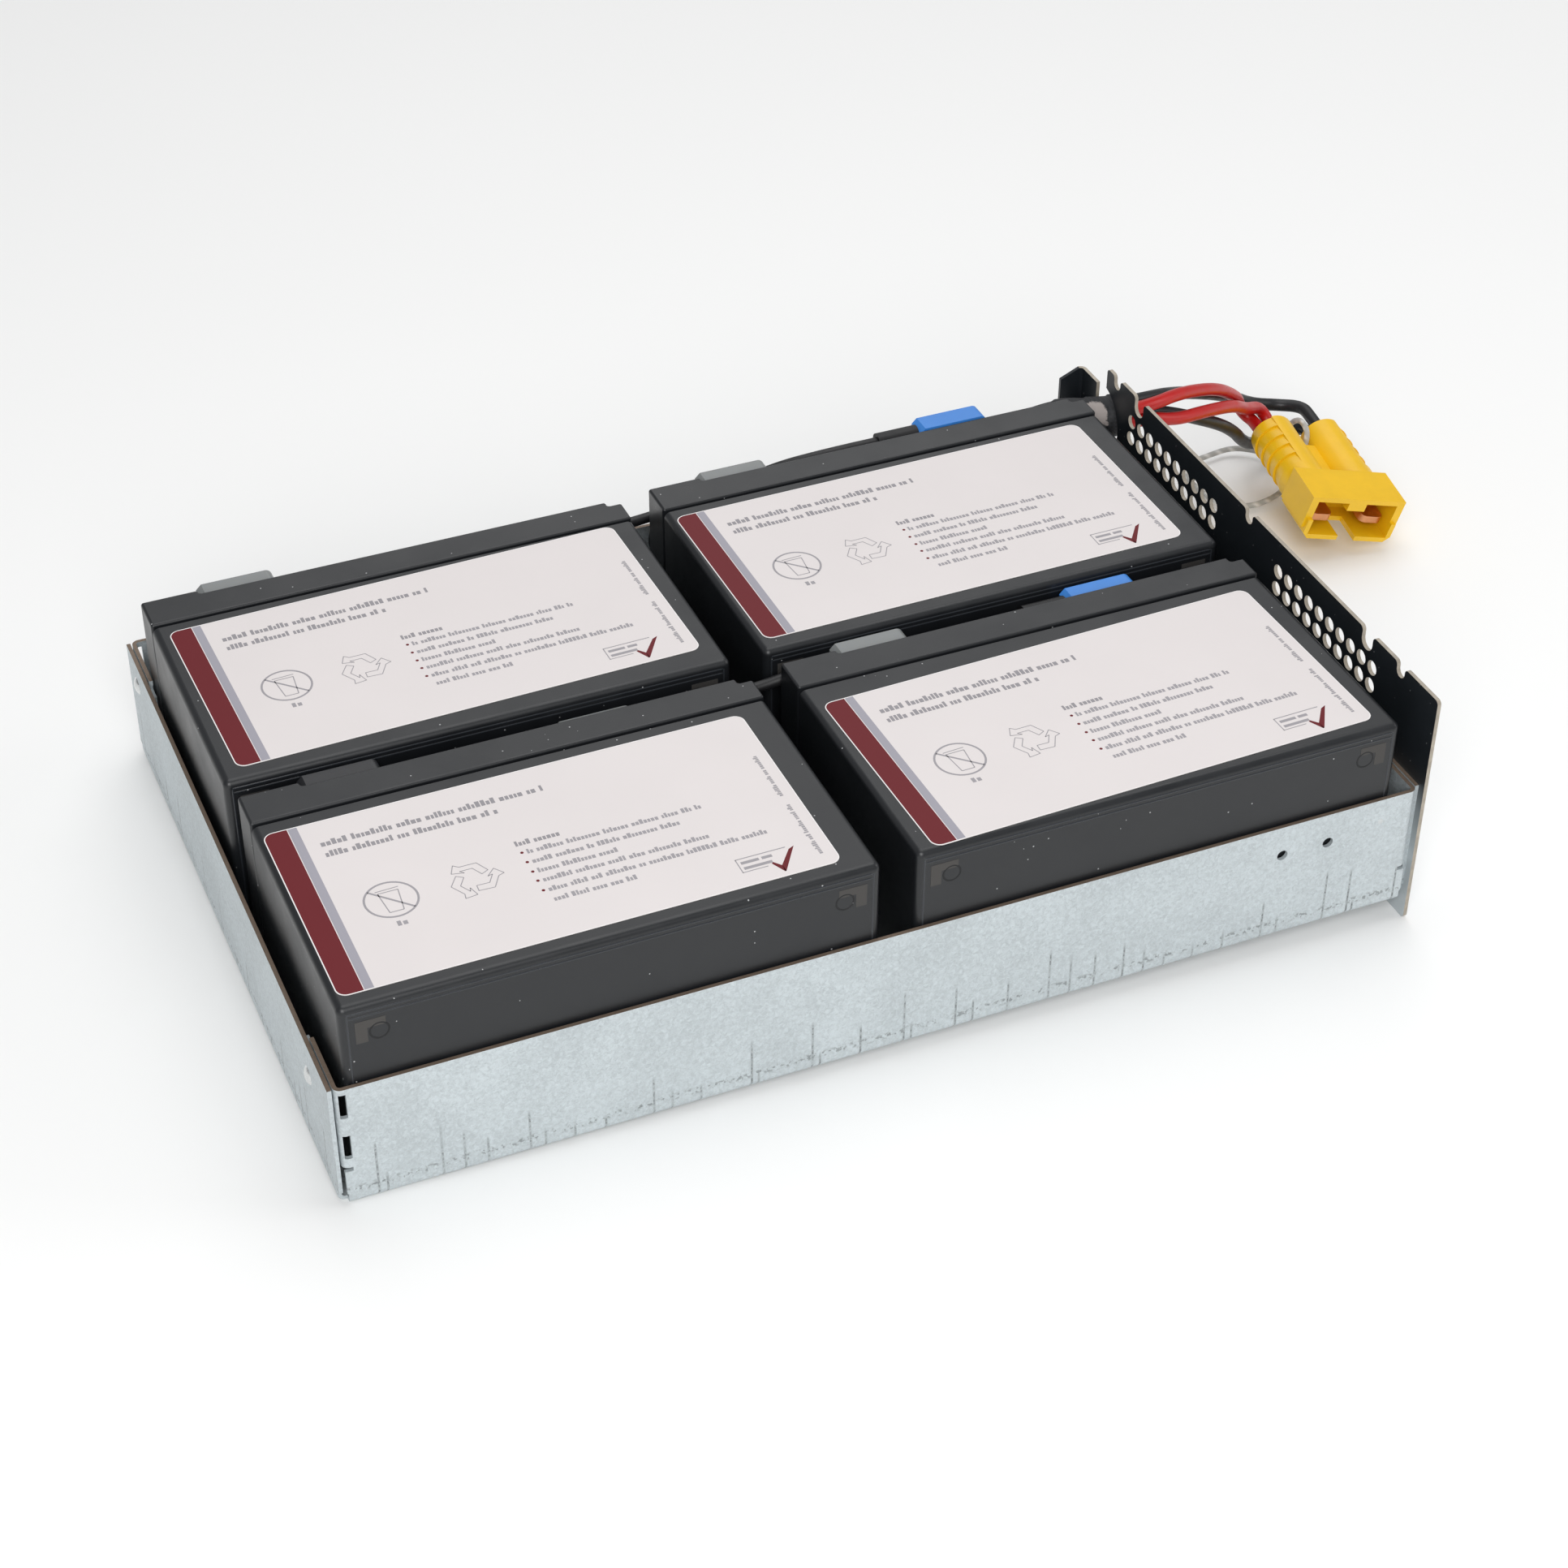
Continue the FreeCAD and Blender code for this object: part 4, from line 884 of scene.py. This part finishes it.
class CARTRIDGE_OT_terminals(CartridgeOperator, bpy.types.Operator):
    """Finishes the terminals, their insulated receptacles and the wires inside the tray"""
    bl_idname = "cartridge.terminals"
    bl_label = "Terminals and wires"

    def execute(self, context):
        choice = context.scene.cartridge_harness
        tin = bare_metal("tinned_brass", linear("#C8C2B6"), 0.3)
        blue = moulded_nylon("blue_nylon", choice.blue, 0.4)
        clear = moulded_nylon("natural_nylon", choice.clear, 0.34)
        # a near-black copy of the clear nylon: painted shade on the front left battery's left receptacle
        dark = moulded_nylon("black_nylon", linear("#202124"), 0.4)
        shrink = insulation("heat_shrink", linear("#151517"), 0.45)
        wire = insulation("wire_pvc", choice.black, 0.42)
        for name in BATTERIES:
            dress(tin, f"{name}_left_blade", f"{name}_right_blade")
            dress(blue if name.endswith("right") else clear, f"{name}_right_insulator")
            # the front left battery's left receptacle is clear nylon like the others, drawn near black as
            # painted shade
            dress(dark if name == "front_left" else clear, f"{name}_left_insulator")
        for name in NODES:
            if name.endswith("_shrink_sleeve"):
                dress(shrink, name)
            if name.endswith("_wire"):
                dress(wire, name)
        return {"FINISHED"}


class CARTRIDGE_OT_connector(CartridgeOperator, bpy.types.Operator):
    """Finishes the connector housing and its contacts"""
    bl_idname = "cartridge.connector"
    bl_label = "Connector"

    def execute(self, context):
        choice = context.scene.cartridge_harness
        dress(moulded_nylon("yellow_polycarbonate", choice.yellow, 0.36), "connector_housing")
        dress(bare_metal("bare_copper", linear("#E3A275"), 0.34), "contact_near", "contact_far")
        return {"FINISHED"}


class CARTRIDGE_OT_stage(CartridgeOperator, bpy.types.Operator):
    """Lays the floor and sets the light"""
    bl_idname = "cartridge.stage"
    bl_label = "Floor and light"

    def execute(self, context):
        choice = context.scene.cartridge_stage
        self.floor(context, pale_floor(choice))
        world = bpy.data.worlds.new("studio")
        world.use_nodes = True
        glow = world.node_tree.nodes["Background"]
        glow.inputs["Color"].default_value = linear("#F7F8FA")
        glow.inputs["Strength"].default_value = 0.36
        context.scene.world = world
        context.scene.view_settings.view_transform = "Standard"
        for name, place, aim, size, share in LAMPS:
            data = bpy.data.lights.new(name, "AREA")
            data.size = size
            data.energy = choice.power * share
            lamp = bpy.data.objects.new(name, data)
            lamp.location = place
            lamp.rotation_euler = (Vector(place) - Vector(aim)).to_track_quat("Z", "Y").to_euler()
            context.scene.collection.objects.link(lamp)
        return {"FINISHED"}

    def floor(self, context, material):
        """A floor that tilts a little, as the cartridge leans on its panel's lower edge and its other end."""
        reach = 3.0
        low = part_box("tray")[0]
        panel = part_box("end_panel")[1].x
        slope = low.z / (low.x - panel)
        work = bmesh.new()
        work.faces.new([work.verts.new((x, y, (x - panel) * slope))
                        for x, y in bar(-reach, -reach, reach, reach)])
        mesh = bpy.data.meshes.new("floor")
        work.to_mesh(mesh)
        work.free()
        mesh.materials.append(material)
        floor = bpy.data.objects.new("floor", mesh)
        context.scene.collection.objects.link(floor)


STEPS = (CARTRIDGE_OT_camera, CARTRIDGE_OT_leads, CARTRIDGE_OT_pull_cord, CARTRIDGE_OT_bundle,
         CARTRIDGE_OT_sheet_metal, CARTRIDGE_OT_cases, CARTRIDGE_OT_labels, CARTRIDGE_OT_terminals,
         CARTRIDGE_OT_connector, CARTRIDGE_OT_stage)


class CARTRIDGE_PT_panel(bpy.types.Panel):
    """Lists the cartridge's sizes, colours and pieces"""
    bl_idname = "CARTRIDGE_PT_panel"
    bl_label = "Battery cartridge"
    bl_space_type = "VIEW_3D"
    bl_region_type = "UI"
    bl_category = "Cartridge"

    def draw(self, context):
        layout = self.layout
        for group in (context.scene.cartridge_finish, context.scene.cartridge_harness,
                      context.scene.cartridge_stage):
            column = layout.column(align=True)
            for name in group.bl_rna.properties.keys():
                if name not in ("rna_type", "name"):
                    column.prop(group, name)
        for step in STEPS:
            layout.operator(step.bl_idname)


CLASSES = (CartridgeFinish, CartridgeHarness, CartridgeStage, *STEPS, CARTRIDGE_PT_panel)


def register():
    for item in CLASSES:
        bpy.utils.register_class(item)
    bpy.types.Scene.cartridge_finish = bpy.props.PointerProperty(type=CartridgeFinish)
    bpy.types.Scene.cartridge_harness = bpy.props.PointerProperty(type=CartridgeHarness)
    bpy.types.Scene.cartridge_stage = bpy.props.PointerProperty(type=CartridgeStage)


def unregister():
    del bpy.types.Scene.cartridge_stage
    del bpy.types.Scene.cartridge_harness
    del bpy.types.Scene.cartridge_finish
    for item in reversed(CLASSES):
        bpy.utils.unregister_class(item)


def main():
    """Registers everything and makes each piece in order."""
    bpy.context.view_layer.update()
    register()
    for step in STEPS:
        group, name = step.bl_idname.split(".")
        getattr(getattr(bpy.ops, group), name)()


if __name__ == "__main__":
    main()
